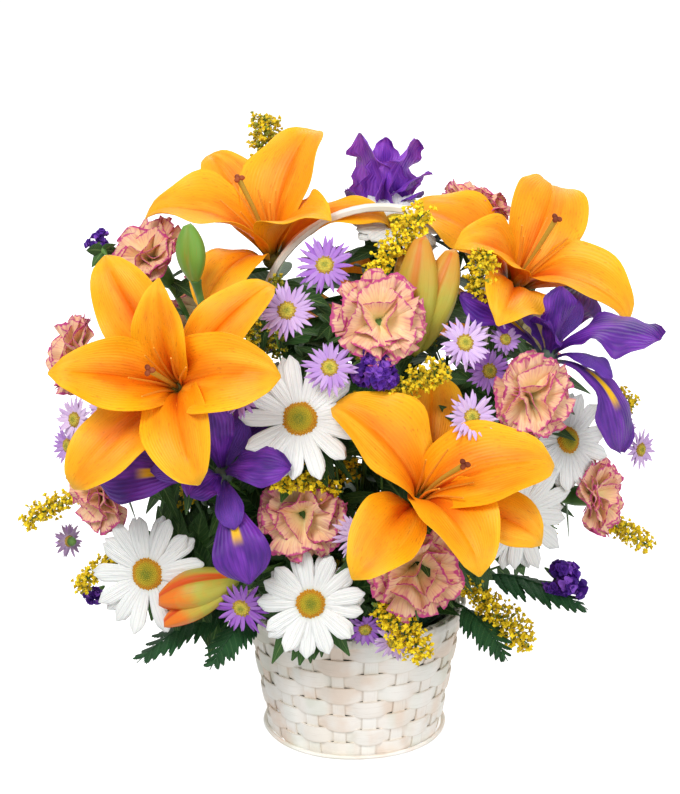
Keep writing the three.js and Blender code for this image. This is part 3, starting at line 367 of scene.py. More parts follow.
class Blanks:
    """Plain forms that are modelled once and shaped for each copy."""

    @staticmethod
    @lru_cache(maxsize=None)
    def blade(steps: int, lanes: int) -> Shape:
        """A closed flat blade: x runs from 0 at its root to 1 at its tip, y from -1 to 1.

        Args:
            steps: faces along it.
            lanes: faces across it.

        Returns:
            The blade, one unit thick.
        """
        grid = bpy.ops.mesh.primitive_grid_add
        piece = Bench.add(grid, x_subdivisions=steps, y_subdivisions=lanes, size=1)
        flat = Shape.taken(Bench.apply(piece, "SOLIDIFY", thickness=1.0, offset=0.0))
        flat.corners[:, 0] += 0.5
        flat.corners[:, 1] *= 2
        flat.growth[:, :2] = flat.corners[:, :2]
        return flat

    @staticmethod
    @lru_cache(maxsize=None)
    def tube(steps: int, sides: int) -> Shape:
        """A closed tube of radius 1 that runs from 0 to 1 along z.

        Args:
            steps: faces along it.
            sides: faces round it.

        Returns:
            The tube, closed at both ends.
        """
        disc = Bench.add(bpy.ops.mesh.primitive_circle_add, vertices=sides, radius=1, fill_type="TRIFAN")
        tube = Shape.taken(Bench.edit(disc, Bench.raised(steps, 1 / steps)))
        tube.growth[:, 0] = tube.corners[:, 2]
        tube.growth[:, 1] = polar(tube.corners)[0] / math.pi
        return tube.outward()

    @staticmethod
    @lru_cache(maxsize=None)
    def ball(segments: int, rings: int) -> Shape:
        """A ball of radius 1."""
        sphere = bpy.ops.mesh.primitive_uv_sphere_add
        return Shape.taken(Bench.add(sphere, segments=segments, ring_count=rings, radius=1)).outward()

    @staticmethod
    @lru_cache(maxsize=None)
    def floret(rays: int, waist: float, depth: float) -> Shape:
        """A small star of rays on a short funnel that ends at the origin.

        Args:
            rays: how many rays it has.
            waist: the radius between the rays, for a tip radius of 1.
            depth: the funnel's length.

        Returns:
            The star, which opens along z.
        """
        cone = bpy.ops.mesh.primitive_cone_add
        piece = Bench.add(
            cone, vertices=2 * rays, radius1=0.12, radius2=1, depth=depth, end_fill_type="TRIFAN"
        )
        star = Shape.taken(piece)
        star.corners[:, 2] += depth / 2
        turn, reach = polar(star.corners)
        between = (np.round(turn / (math.pi / rays)).astype(int) % 2 == 1) & (reach > 0.5)
        star.corners[between, :2] *= waist
        centre = (reach < 0.05) & (star.corners[:, 2] > depth / 2)
        star.corners[centre, 2] -= 0.3 * depth
        return star.outward()


def blade(
    point: Surface, steps: int, lanes: int, thick: float, tint: float = 0.0, thin_edge: float = 0.6
) -> Shape:
    """A thin petal or leaf over a curved surface.

    Args:
        point: the middle surface, from how far along and how far across.
        steps: faces along it.
        lanes: faces across it.
        thick: its thickness at the middle.
        tint: the third value of its growth.
        thin_edge: the share of the thickness that is lost at the edge.

    Returns:
        The blade, closed all round.
    """
    blank = Blanks.blade(steps, lanes)
    along, across, side = blank.corners.T
    nudge = 0.01
    ahead = point(np.minimum(along + nudge, 1), across) - point(np.maximum(along - nudge, 0), across)
    over = point(along, np.minimum(across + nudge, 1)) - point(along, np.maximum(across - nudge, -1))
    edge = np.maximum(np.abs(across), 2 * np.abs(along - 0.5)) ** 6
    depth = side * thick * (1 - thin_edge * edge)
    return blank.formed(point(along, across) + unit(np.cross(ahead, over)) * depth[:, None], tint)


def smooth_path(points: Sequence[Point], count: int) -> Array:
    """A centripetal curve through points.

    Args:
        points: two or more places.
        count: how many places the curve is given by.

    Returns:
        Places along the curve, evenly apart.
    """
    known = np.array(points, float)
    known = np.vstack([2 * known[0] - known[1], known, 2 * known[-1] - known[-2]])
    places = []
    for a, b, c, d in zip(known, known[1:], known[2:], known[3:]):
        gaps = [max(np.linalg.norm(q - p) ** 0.5, 1e-4) for p, q in ((a, b), (b, c), (c, d))]
        enter = ((b - a) / gaps[0] - (c - a) / (gaps[0] + gaps[1]) + (c - b) / gaps[1]) * gaps[1]
        leave = ((c - b) / gaps[1] - (d - b) / (gaps[1] + gaps[2]) + (d - c) / gaps[2]) * gaps[1]
        t = np.linspace(0, 1, 24, endpoint=False)[:, None]
        places.append(
            b + enter * t + (3 * (c - b) - 2 * enter - leave) * t**2
            + (2 * (b - c) + enter + leave) * t**3
        )
    path = np.vstack([*places, known[-2:-1]])
    far = np.concatenate([[0], np.cumsum(np.linalg.norm(np.diff(path, axis=0), axis=1))])
    even = np.linspace(0, far[-1], count)
    return columns(*(np.interp(even, far, part) for part in path.T))


def bowed(start: Array, middle: Array, end: Array, count: int) -> Array:
    """Places on a bow from a start to an end that leans towards a middle."""
    t = np.linspace(0, 1, count)[:, None]
    return start * (1 - t) ** 2 + 2 * middle * t * (1 - t) + end * t**2


def along_path(path: Array, share: Array) -> tuple[Array, Array, Array, Array]:
    """Places and directions on a path.

    Args:
        path: evenly spaced places.
        share: how far along each wanted place is, from 0 to 1.

    Returns:
        The places, the directions, and two more directions square to them.
    """
    ticks = np.linspace(0, 1, len(path))
    slopes = np.gradient(path, axis=0)
    place = columns(*(np.interp(share, ticks, part) for part in path.T))
    ahead = unit(columns(*(np.interp(share, ticks, part) for part in slopes.T)))
    whole = unit(path[-1] - path[0])
    rest = np.array([0.0, 1.0, 0.0]) if abs(whole[1]) < 0.8 else np.array([1.0, 0.0, 0.0])
    side = unit(np.cross(ahead, rest))
    return place, ahead, side, np.cross(ahead, side)


def tube(
    path: Array, radius: Callable[[Array], Array | float], steps: int = 8, sides: int = 6, tint: float = 0
) -> Shape:
    """A round stalk along a path.

    Args:
        path: evenly spaced places.
        radius: its radius, from how far along.
        steps: faces along it.
        sides: faces round it.
        tint: the third value of its growth.

    Returns:
        The stalk, closed at both ends.
    """
    blank = Blanks.tube(steps, sides)
    share = blank.corners[:, 2]
    place, _, side, over = along_path(path, share)
    wide = np.broadcast_to(radius(share), share.shape)[:, None]
    corners = place + wide * (blank.corners[:, :1] * side + blank.corners[:, 1:2] * over)
    return blank.formed(corners, tint)


@dataclass(frozen=True)
class Facing:
    """A bloom's place and the way it faces.

    Attributes:
        at: its place.
        towards: the way it faces, or None for away from the heart of the arrangement.
    """

    at: Point
    towards: Point | None = None

    @property
    def place(self) -> Array:
        """Its place as an array."""
        return np.array(self.at, float)

    @property
    def out(self) -> Array:
        """The way it faces.

        Returns:
            A direction of length one.
        """
        if self.towards is not None:
            return unit(np.array(self.towards, float))
        away = unit(self.place - HEART)
        away[1] += FRONT_LEAN * (1 if self.at[1] > 0 else -1)
        return unit(away)

    @property
    def right(self) -> Array:
        """Its right, square to the way it faces."""
        level = np.array([1.0, 0.0, 0.0])
        return unit(level - self.out * level.dot(self.out))

    @property
    def up(self) -> Array:
        """Square to its right and the way it faces."""
        return np.cross(self.out, self.right)

    def radial(self, turn: float) -> Array:
        """The way across it at a turn in degrees."""
        angle = math.radians(turn)
        return self.right * math.cos(angle) + self.up * math.sin(angle)

    def spot(self, ahead: Array | float, x: Array | float, y: Array | float) -> Array:
        """Places from distances ahead of it and across it."""
        ahead, x, y = (np.asarray(v, float)[..., None] for v in (ahead, x, y))
        return self.place + self.out * ahead + self.right * x + self.up * y

    def off(self, radial: Array, ahead: Array, reach: Array, sideways: Array) -> Array:
        """Places ahead of it, some way out along a radial, and to the radial's side."""
        side = np.cross(self.out, radial)
        return self.place + columns(ahead, reach, sideways) @ np.stack([self.out, radial, side])

    def arc(self, turn: float, root: float, start: float, end: float, long: float) -> ArcSpine:
        """A spine that leaves the axis and bends from one angle to another, in degrees."""
        return ArcSpine(self, self.radial(turn), root, math.radians(start), math.radians(end), long)


@dataclass(frozen=True)
class ArcSpine:
    """A petal's spine: an arc that opens out from a bloom's axis.

    Attributes:
        face: the bloom's place and the way it faces.
        radial: the way across the bloom that it runs.
        root: how far from the axis it starts.
        start: its angle from the axis at the root, in radians.
        end: its angle at the tip.
        long: its length.
    """

    face: Facing
    radial: Array
    root: float
    start: float
    end: float
    long: float

    def place(self, along: Array, sideways: Array, lift: Array) -> Array:
        """Places off the spine.

        Args:
            along: how far along the spine, from 0 to 1.
            sideways: how far to its side.
            lift: how far above its upper face.

        Returns:
            The places.
        """
        bend = self.end - self.start
        angle = self.start + bend * along
        ahead = self.long * (np.sin(angle) - math.sin(self.start)) / bend
        away = self.long * (math.cos(self.start) - np.cos(angle)) / bend
        reach = self.root + away - lift * np.cos(angle)
        return self.face.off(self.radial, ahead + lift * np.sin(angle), reach, sideways)


# Finishes


class Wire:
    """A socket in a finish's node tree, on which arithmetic adds Math nodes."""

    def __init__(self, tree: Tree, socket: bpy.types.NodeSocket) -> None:
        """Wraps an output socket of a tree."""
        self.tree, self.socket = tree, socket

    def maths(self, operation: str, *values: Wire | float) -> Wire:
        """Adds a Math node that takes these values."""
        return self.tree.node("ShaderNodeMath", {"operation": operation}, dict(enumerate(values)))

    def __add__(self, other: Wire | float) -> Wire:
        """Adds."""
        return self.maths("ADD", self, other)

    __radd__ = __add__

    def __sub__(self, other: Wire | float) -> Wire:
        """Subtracts."""
        return self.maths("SUBTRACT", self, other)

    def __rsub__(self, other: float) -> Wire:
        """Subtracts from a number."""
        return self.maths("SUBTRACT", other, self)

    def __mul__(self, other: Wire | float) -> Wire:
        """Multiplies."""
        return self.maths("MULTIPLY", self, other)

    __rmul__ = __mul__

    def __abs__(self) -> Wire:
        """Drops the sign."""
        return self.maths("ABSOLUTE", self)

    def ripple(self) -> Wire:
        """The sine."""
        return self.maths("SINE", self)

    def between(self, low: float, high: float) -> Wire:
        """A smooth step from 0 at low to 1 at high, either way round.

        Args:
            low: the value that gives 0.
            high: the value that gives 1.

        Returns:
            The step.
        """
        return self.tree.node(
            "ShaderNodeMapRange", {"interpolation_type": "SMOOTHSTEP", "clamp": True},
            {0: self, 1: low, 2: high, 3: 0.0, 4: 1.0},
        )


class Tree:
    """A material's node tree."""

    def __init__(self, material: Material) -> None:
        """Starts from an empty tree.

        Args:
            material: the material whose nodes it makes.
        """
        material.use_nodes = True
        self.nodes, self.links = material.node_tree.nodes, material.node_tree.links
        self.nodes.clear()

    def node(
        self, kind: str, settings: Mapping[str, object], inputs: Mapping, output: int | str = 0
    ) -> Wire:
        """Adds a node.

        Args:
            kind: the node's type.
            settings: its properties, which are set first.
            inputs: values or wires by the name or number of the socket.
            output: the name or number of the socket that the result leaves by.

        Returns:
            That output.
        """
        made = self.nodes.new(kind)
        for name, value in settings.items():
            setattr(made, name, value)
        for name, value in inputs.items():
            if isinstance(value, Wire):
                self.links.new(value.socket, made.inputs[name])
            else:
                made.inputs[name].default_value = value
        return Wire(self, made.outputs[output])

    def growth(self) -> tuple[Wire, Wire, Wire]:
        """How far along and across its petal a place lies, and the petal's tint.

        Returns:
            The three values of the growth.
        """
        grown = self.node("ShaderNodeAttribute", {"attribute_name": "growth"}, {}, "Vector")
        parts = self.node("ShaderNodeSeparateXYZ", {}, {0: grown})
        return tuple(Wire(self, socket) for socket in parts.socket.node.outputs)

    def vector(self, x: Wire | float, y: Wire | float, z: Wire | float) -> Wire:
        """Three numbers as a vector."""
        return self.node("ShaderNodeCombineXYZ", {}, {0: x, 1: y, 2: z})

    def noise(self, scale: float, detail: float = 2.0, at: Wire | None = None) -> Wire:
        """Noise from 0 to 1, in the piece's own place unless a vector is given."""
        at = at or self.node("ShaderNodeTexCoord", {}, {}, "Object")
        return self.node("ShaderNodeTexNoise", {}, {"Vector": at, "Scale": scale, "Detail": detail})

    def patches(self, x: Wire | float, y: Wire | float, z: Wire | float, detail: float) -> Wire:
        """Noise from 0 to 1 over three values, so that it follows the growth."""
        return self.noise(1.0, detail, self.vector(x, y, z))

    def mix(self, share: Wire | float, first: object, second: object) -> Wire:
        """A mix of two colours, which are wires or codes.

        Args:
            share: the share of the second colour.
            first: the first colour.
            second: the second.

        Returns:
            The mixed colour.
        """
        first, second = (shade(c) if isinstance(c, str) else c for c in (first, second))
        inputs = {0: share, 6: first, 7: second}
        return self.node("ShaderNodeMix", {"data_type": "RGBA", "clamp_factor": True}, inputs, 2)


@dataclass(frozen=True)
class Finish:
    """A surface of one colour that varies a little.

    A finish with more colours has a field for each, named after where it shows.

    Attributes:
        name: the material's name.
        slot: the record's material slot; it is not used.
        light: the lighter colour, or that of a full tint.
        dark: the darker colour, or that of no tint.
        roughness: the surface's roughness.
        bump: the depth of its relief, in millimetres.
        subsurface: how much light passes below the surface.
    """

    name: str
    slot: str
    light: str
    dark: str
    roughness: float = 0.6
    bump: float = 0.15
    subsurface: float = 0.0

    def colour(self, tree: Tree) -> Wire:
        """The colour over the surface."""
        return tree.mix(tree.noise(90).between(0.3, 0.7), self.dark, self.light)

    def relief(self, tree: Tree) -> Wire:
        """The height over the surface, from about 0 to 1."""
        return tree.noise(700, 3)

    def material(self) -> Material:
        """Makes the Blender material, or finds the one that was made.

        Returns:
            The material.
        """
        if self.name in bpy.data.materials:
            return bpy.data.materials[self.name]
        material = bpy.data.materials.new(self.name)
        tree = Tree(material)
        bump = tree.node(
            "ShaderNodeBump", {}, {"Strength": 1.0, "Distance": self.bump * MM,
                                   "Height": self.relief(tree)},
        )
        inputs = {
            "Base Color": self.colour(tree), "Roughness": self.roughness, "Normal": bump,
            "Specular IOR Level": SHEEN,
        }
        if self.subsurface:
            inputs["Subsurface Weight"] = self.subsurface
            inputs["Subsurface Scale"] = SUBSURFACE_DEPTH
        surface = tree.node("ShaderNodeBsdfPrincipled", {}, inputs)
        out = tree.nodes.new("ShaderNodeOutputMaterial")
        tree.links.new(surface.socket, out.inputs["Surface"])
        material.diffuse_color = shade(self.light)
        return material


@dataclass(frozen=True)
class Whitewash(Finish):
    """Splints brushed with thin white paint that lets some wood through."""

    cream: str = "F8F1E6"
    greenish: str = "E4E7DA"
    # painted shade: the colour that darkens each splint's edges
    edge_shading: str = "C4B299"
    line: str = "B3A68E"

    def grain(self, tree: Tree) -> Wire:
        """Fine lines that run along a splint."""
        along, across, tint = tree.growth()
        return tree.patches(along * 0.5, across * 13, tint * 40, 3)

    def colour(self, tree: Tree) -> Wire:
        """Cream, with pinkish and grey-green splints, white brush marks, and painted shade along each
        splint's edges.

        Args:
            tree: the material's nodes.

        Returns:
            The colour.
        """
        along, across, tint = tree.growth()
        patch = tree.patches(along * 0.3, tint * 23, 0.0, 1)
        other = tree.patches(along * 0.3, tint * 31, 7.0, 1)
        wood = tree.mix(patch.between(0.44, 0.6), self.dark, self.cream)
        wood = tree.mix(other.between(0.5, 0.64) * 0.7, wood, self.greenish)
        worn = tree.mix(tree.noise(38, 3).between(0.4, 0.62) * 0.7, wood, self.light)
        # Painted shade: each splint darkens towards its edges, standing in for the shadows between the rows.
        worn = tree.mix(abs(across).between(0.82, 1.0) * 0.3, worn, self.edge_shading)
        return tree.mix(self.grain(tree).between(0.54, 0.8) * 0.25, worn, self.line)

    def relief(self, tree: Tree) -> Wire:
        """The grain."""
        return self.grain(tree)


@dataclass(frozen=True)
class LilyPetal(Finish):
    """Deeper along the rib and green and brown in the throat, with golden painted highlights in patches,
    along the edge and at the tip.
    """

    # The first three colours are painted highlights: in patches, along the edge and at the tip.
    painted_highlight: str = "FFC43A"
    edge_shading: str = "FFC214"
    tip: str = "FFCB28"
    fleck: str = "B5540F"
    streak: str = "C4480C"
    throat: str = "6B5E1E"

    def lines(self, tree: Tree) -> Wire:
        """Fine veins that run along the petal.

        Args:
            tree: the material's nodes.

        Returns:
            A value that swings from -1 to 1 across the veins.
        """
        along, across, tint = tree.growth()
        wander = tree.patches(along * 2, across * 2, tint * 9, 1)
        return (across * 84 + wander * 9).ripple()

    def colour(self, tree: Tree) -> Wire:
        """Golden to deep orange, with a dark throat and painted highlights.

        Args:
            tree: the material's nodes.

        Returns:
            The colour.
        """
        along, across, tint = tree.growth()
        edge = abs(across)
        rib = edge.between(0.8, 0.0) * along.between(1.1, 0.1)
        patch = tree.patches(along * 2.4, across * 1.5, tint * 17, 2)
        body = tree.mix(rib * 0.7 + patch.between(0.42, 0.75) * 0.4, self.light, self.dark)
        # Painted highlights: lighter patches, a golden band along the edge and a lighter tip.
        painted_highlight = tree.patches(along * 1.8, across * 2.5, tint * 29, 2)
        body = tree.mix(painted_highlight.between(0.52, 0.75) * 0.4, body, self.painted_highlight)
        body = tree.mix(edge.between(0.6, 1.0) * along.between(0.2, 0.7) * 0.6, body, self.edge_shading)
        body = tree.mix(along.between(0.84, 1.0) * 0.5, body, self.tip)
        body = tree.mix(self.lines(tree).between(0.2, 1.0) * 0.1, body, self.dark)
        fleck = tree.patches(along * 22, across * 26, tint * 31, 1).between(0.64, 0.7)
        body = tree.mix(fleck * along.between(0.0, 0.4) * 0.35, body, self.fleck)
        streak = edge.between(0.24, 0.0) * along.between(0.6, 0.08)
        body = tree.mix(streak * 0.65, body, self.streak)
        return tree.mix(along.between(0.17, 0.03), body, self.throat)

    def relief(self, tree: Tree) -> Wire:
        """The veins."""
        return self.lines(tree)


@dataclass(frozen=True)
class IrisPetal(Finish):
    """Deep violet with fine veins, and a yellow signal where the tint is full.

    Attributes:
        veining: how much darker the veins are.
    """

    veining: float = 1.0
    vein: str = "2A0E70"
    arm: str = "6F42B4"
    signal: str = "F2B90F"
    foot: str = "5B7A3A"

    def veins(self, tree: Tree) -> Wire:
        """Fine veins that run along the petal."""
        _, across, _ = tree.growth()
        return (across * 38 + tree.noise(140) * 3).ripple()

    def colour(self, tree: Tree) -> Wire:
        """Violet, with a yellow signal on the falls.

        Args:
            tree: the material's nodes.

        Returns:
            The colour.
        """
        along, across, tint = tree.growth()
        patch = tree.patches(along * 3, across * 2, tint * 7, 2)
        body = tree.mix(patch.between(0.3, 0.75), self.dark, self.light)
        body = tree.mix(self.veins(tree).between(0.5, 1.0) * (0.3 * self.veining), body, self.vein)
        body = tree.mix(tint.between(0.3, 0.5) * tint.between(0.8, 0.6) * 0.5, body, self.arm)
        is_fall = tint.between(0.85, 0.95)
        signal = abs(across).between(0.26, 0.12) * along.between(0.24, 0.34) * along.between(0.68, 0.54)
        body = tree.mix(signal * is_fall, body, self.signal)
        return tree.mix(along.between(0.14, 0.02) * 0.7, body, self.foot)

    def relief(self, tree: Tree) -> Wire:
        """The veins."""
        return self.veins(tree)


@dataclass(frozen=True)
class GroovedPetal(Finish):
    """White, with soft grey painted shade in the grooves and a green-tinged root."""

    foot: str = "C9CF8A"

    def colour(self, tree: Tree) -> Wire:
        """White, with painted shade in the grooves and greener at the root.

        Args:
            tree: the material's nodes.

        Returns:
            The colour.
        """
        along, across, tint = tree.growth()
        # Painted shade: the grooves turn grey towards the root.
        groove = abs(abs(across) - 0.34).between(0.1, 0.0)
        body = tree.mix(groove * along.between(0.0, 0.5) * 0.4, self.light, self.dark)
        body = tree.mix(tree.patches(along, across, tint * 20, 1) * 0.2, body, self.dark)
        return tree.mix(along.between(0.2, 0.0) * 0.7, body, self.foot)

    def relief(self, tree: Tree) -> Wire:
        """Fine lines along the petal."""
        _, across, _ = tree.growth()
        return (across * 30).ripple()


@dataclass(frozen=True)
class PicoteePetal(Finish):
    """Peach and cream, with a magenta edge and streaks that run in from it."""

    patch: str = "F8E2B8"
    blush: str = "E59AA0"
    streak: str = "D0608A"
    vein: str = "C4487E"
    rim: str = "BC2C80"

    def colour(self, tree: Tree) -> Wire:
        """Cream at the root, peach in the blade, magenta at the edge.

        Args:
            tree: the material's nodes.

        Returns:
            The colour.
        """
        along, across, tint = tree.growth()
        streak = tree.patches(along * 1.6, across * 9, tint * 43, 2)
        body = tree.mix(along.between(0.3, 0.95) + (streak - 0.5) * 0.6, self.dark, self.light)
        body = tree.mix(tree.noise(200, 2).between(0.4, 0.7) * 0.4, body, self.patch)
        body = tree.mix(along.between(0.72, 1.0) * 0.25, body, self.blush)
        line = streak.between(0.6, 0.7) * along.between(0.45, 1.0)
        body = tree.mix(line * 0.5, body, self.streak)
        vein = (across * 66 + (streak - 0.5) * 16).ripple().between(0.5, 1.0)
        body = tree.mix(vein * along.between(0.55, 1.0) * 0.42, body, self.vein)
        side = abs(across).between(0.94, 1.0) * along.between(0.6, 0.9) * 0.7
        rim = (along + (streak - 0.5) * 0.2).between(0.955, 0.99)
        return tree.mix(rim.maths("MAXIMUM", rim, side) * 0.9, body, self.rim)

    def relief(self, tree: Tree) -> Wire:
        """Soft creases along the petal."""
        along, across, tint = tree.growth()
        return tree.patches(along * 2, across * 14, tint * 11, 2)


@dataclass(frozen=True)
class RayPetal(Finish):
    """Lilac to purple by the tint, paler at the root."""

    line: str = "7B54B4"
    foot: str = "E6DDF0"

    def colour(self, tree: Tree) -> Wire:
        """The ray's colour.

        Args:
            tree: the material's nodes.

        Returns:
            The colour.
        """
        along, across, tint = tree.growth()
        body = tree.mix(tint, self.light, self.dark)
        body = tree.mix((across * 9).ripple().between(0.2, 1.0) * 0.2, body, self.line)
        return tree.mix(along.between(0.35, 0.0) * 0.5, body, self.foot)


@dataclass(frozen=True)
class DiscFloret(Finish):
    """Florets that ripen from the rim inwards; the first value of the growth is the radius."""

    ring: str = "C98A1E"
    grain: str = "E9C136"

    def colour(self, tree: Tree) -> Wire:
        """Green-yellow in the middle, with a golden ring.

        Args:
            tree: the material's nodes.

        Returns:
            The colour.
        """
        along, _, _ = tree.growth()
        body = tree.mix(along.between(0.15, 0.55), self.dark, self.light)
        body = tree.mix(along.between(0.6, 0.85), body, self.ring)
        return tree.mix(tree.noise(900, 2).between(0.45, 0.7) * 0.45, body, self.grain)


@dataclass(frozen=True)
class Tinted(Finish):
    """A finish that goes from its dark to its light colour by the tint."""

    middle: str = "D9A514"

    def colour(self, tree: Tree) -> Wire:
        """The colour by the tint, with a little noise.

        Args:
            tree: the material's nodes.

        Returns:
            The colour.
        """
        _, _, tint = tree.growth()
        body = tree.mix(tint.between(0.0, 0.5), self.dark, self.middle)
        body = tree.mix(tint.between(0.5, 1.0), body, self.light)
        return tree.mix(tree.noise(500, 2).between(0.45, 0.75) * 0.3, body, self.middle)


@dataclass(frozen=True)
class Leafy(Finish):
    """Green with a paler rib and side veins."""

    rib: str = "7FA05A"

    def veins(self, tree: Tree) -> Wire:
        """Side veins that run out and forward from the rib."""
        along, across, _ = tree.growth()
        return (along * 60 - abs(across) * 14).ripple().between(0.55, 1.0)

    def colour(self, tree: Tree) -> Wire:
        """Green by the tint, paler along the rib.

        Args:
            tree: the material's nodes.

        Returns:
            The colour.
        """
        _, across, tint = tree.growth()
        body = tree.mix(tint * 0.7 + tree.noise(120) * 0.4, self.dark, self.light)
        body = tree.mix(self.veins(tree) * 0.2, body, self.rib)
        return tree.mix(abs(across).between(0.14, 0.0) * 0.6, body, self.rib)

    def relief(self, tree: Tree) -> Wire:
        """The side veins."""
        return self.veins(tree)


@dataclass(frozen=True)
class BudSkin(Finish):
    """Yellow-green at the foot, orange along the ribs and at the tip."""

    seam: str = "D4531A"
    line: str = "A07F2A"
    foot: str = "8FA23E"

    def colour(self, tree: Tree) -> Wire:
        """The bud's colour: the second value of the growth is 1 at a seam.

        Args:
            tree: the material's nodes.

        Returns:
            The colour.
        """
        along, seam, tint = tree.growth()
        patch = tree.noise(150, 2) - 0.5
        body = tree.mix((along.between(0.4, 1.0) + patch * 0.7) * tint, self.light, self.dark)
        body = tree.mix(seam.between(0.5, 0.95) * tint * 0.8, body, self.seam)
        body = tree.mix(self.relief(tree).between(0.5, 0.75) * 0.35, body, self.line)
        return tree.mix(along.between(0.22, 0.0) * 0.8, body, self.foot)

    def relief(self, tree: Tree) -> Wire:
        """Fine lines along the bud."""
        along, seam, _ = tree.growth()
        return tree.patches(along * 3, seam * 9, 1.0, 2)


@dataclass(frozen=True)
class Porous(Finish):
    """Foam with small pores."""

    def relief(self, tree: Tree) -> Wire:
        """The pores."""
        return tree.noise(1600, 4).between(0.35, 0.6)


class Looks(Enum):
    """The finishes of this arrangement."""

    SPLINT = Whitewash("whitewashed_splint", "whitewash", "FFFDF8", "F3E2D2", 0.75, 0.15)
    LINER = Finish("dark_liner", "liner", "35543F", "243D2C", 0.35, 0.05)
    FOAM = Porous("wet_foam", "foam", "3D6B4B", "26482F", 0.95, 0.6)
    STEM = Finish("green_stem", "stem", "6E9448", "3F6A2C", 0.55, 0.2)
    LEAF = Leafy("green_leaf", "stem", "3F6A2E", "183615", 0.5, 0.2)
    LILY = LilyPetal("lily_petal", "lily", "FDA90C", "E05C00", 0.5, 0.045, 0.03)
    PISTIL = Tinted("lily_pistil", "lily", "F0962A", "8E8232", 0.45, 0.1, 0.0, "C9A640")
    STIGMA = Finish("rust_stigma", "lily", "A5512A", "6E2C14", 0.7, 0.3)
    BUD = BudSkin("lily_bud_skin", "bud", "B3AB42", "E5761C", 0.45, 0.2)
    GREEN_BUD = BudSkin("green_bud_skin", "stem", "6F9A3A", "4A7A2C", 0.45, 0.2)
    IRIS = IrisPetal("iris_petal", "iris", "7632AC", "3E1474", 0.5, 0.12, 0.08)
    # Painted light: a paler copy of the iris finish, with fainter veins, that lightens the iris at the top,
    # which the lamps leave dark.
    IRIS_PALE = IrisPetal("iris_petal_painted_lighter", "iris", "A65EDA", "6A2CAA", 0.5, 0.12, 0.12, 0.5)
    DAISY = GroovedPetal("daisy_petal", "daisy", "F5F5F2", "C8CCCA", 0.55, 0.1, 0.05)
    DAISY_DISC = DiscFloret("daisy_disc", "daisy", "BBAA2C", "8F9830", 0.7, 0.2)
    CARNATION = PicoteePetal("carnation_petal", "carnation", "F0C292", "F6E6B4", 0.65, 0.25, 0.05)
    ASTER = RayPetal("aster_ray", "aster", "E3C9EA", "9650C0", 0.6, 0.1, 0.03)
    ASTER_DISC = DiscFloret("aster_disc", "aster", "C6B84A", "94983A", 0.7, 0.2, 0.0, "A8863A")
    STATICE = Tinted("statice_paper", "statice", "8A52C4", "361270", 0.7, 0.2, 0.0, "562499")
    GOLDENROD = Tinted("goldenrod_floret", "goldenrod", "FFE423", "7F8A2A", 0.6, 0.2, 0.0, "E2C01C")
    FERN = Leafy("fern_leaf", "fern", "2A5F34", "0F2C15", 0.5, 0.2, 0.0, "456F42")


def deliver(name: str, shape: Shape, look: Looks, *nodes: str, sharp: float = 60.0) -> Object:
    """Makes a piece and says what it rides on, stands for and takes its finish from.

    Args:
        name: the piece's name.
        shape: its form.
        look: its finish.
        nodes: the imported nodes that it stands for.
        sharp: the least angle in degrees of an edge that stays sharp.

    Returns:
        The piece.
    """
    piece = shape.piece(name, look.value.material(), sharp)
    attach(piece, "root")
    if nodes:
        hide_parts(*nodes)
    triangles = int((shape.faces[:, 3] >= 0).sum() + len(shape.faces))
    LOG.info("%s: %d triangles", name, triangles)
    return piece


# The basket


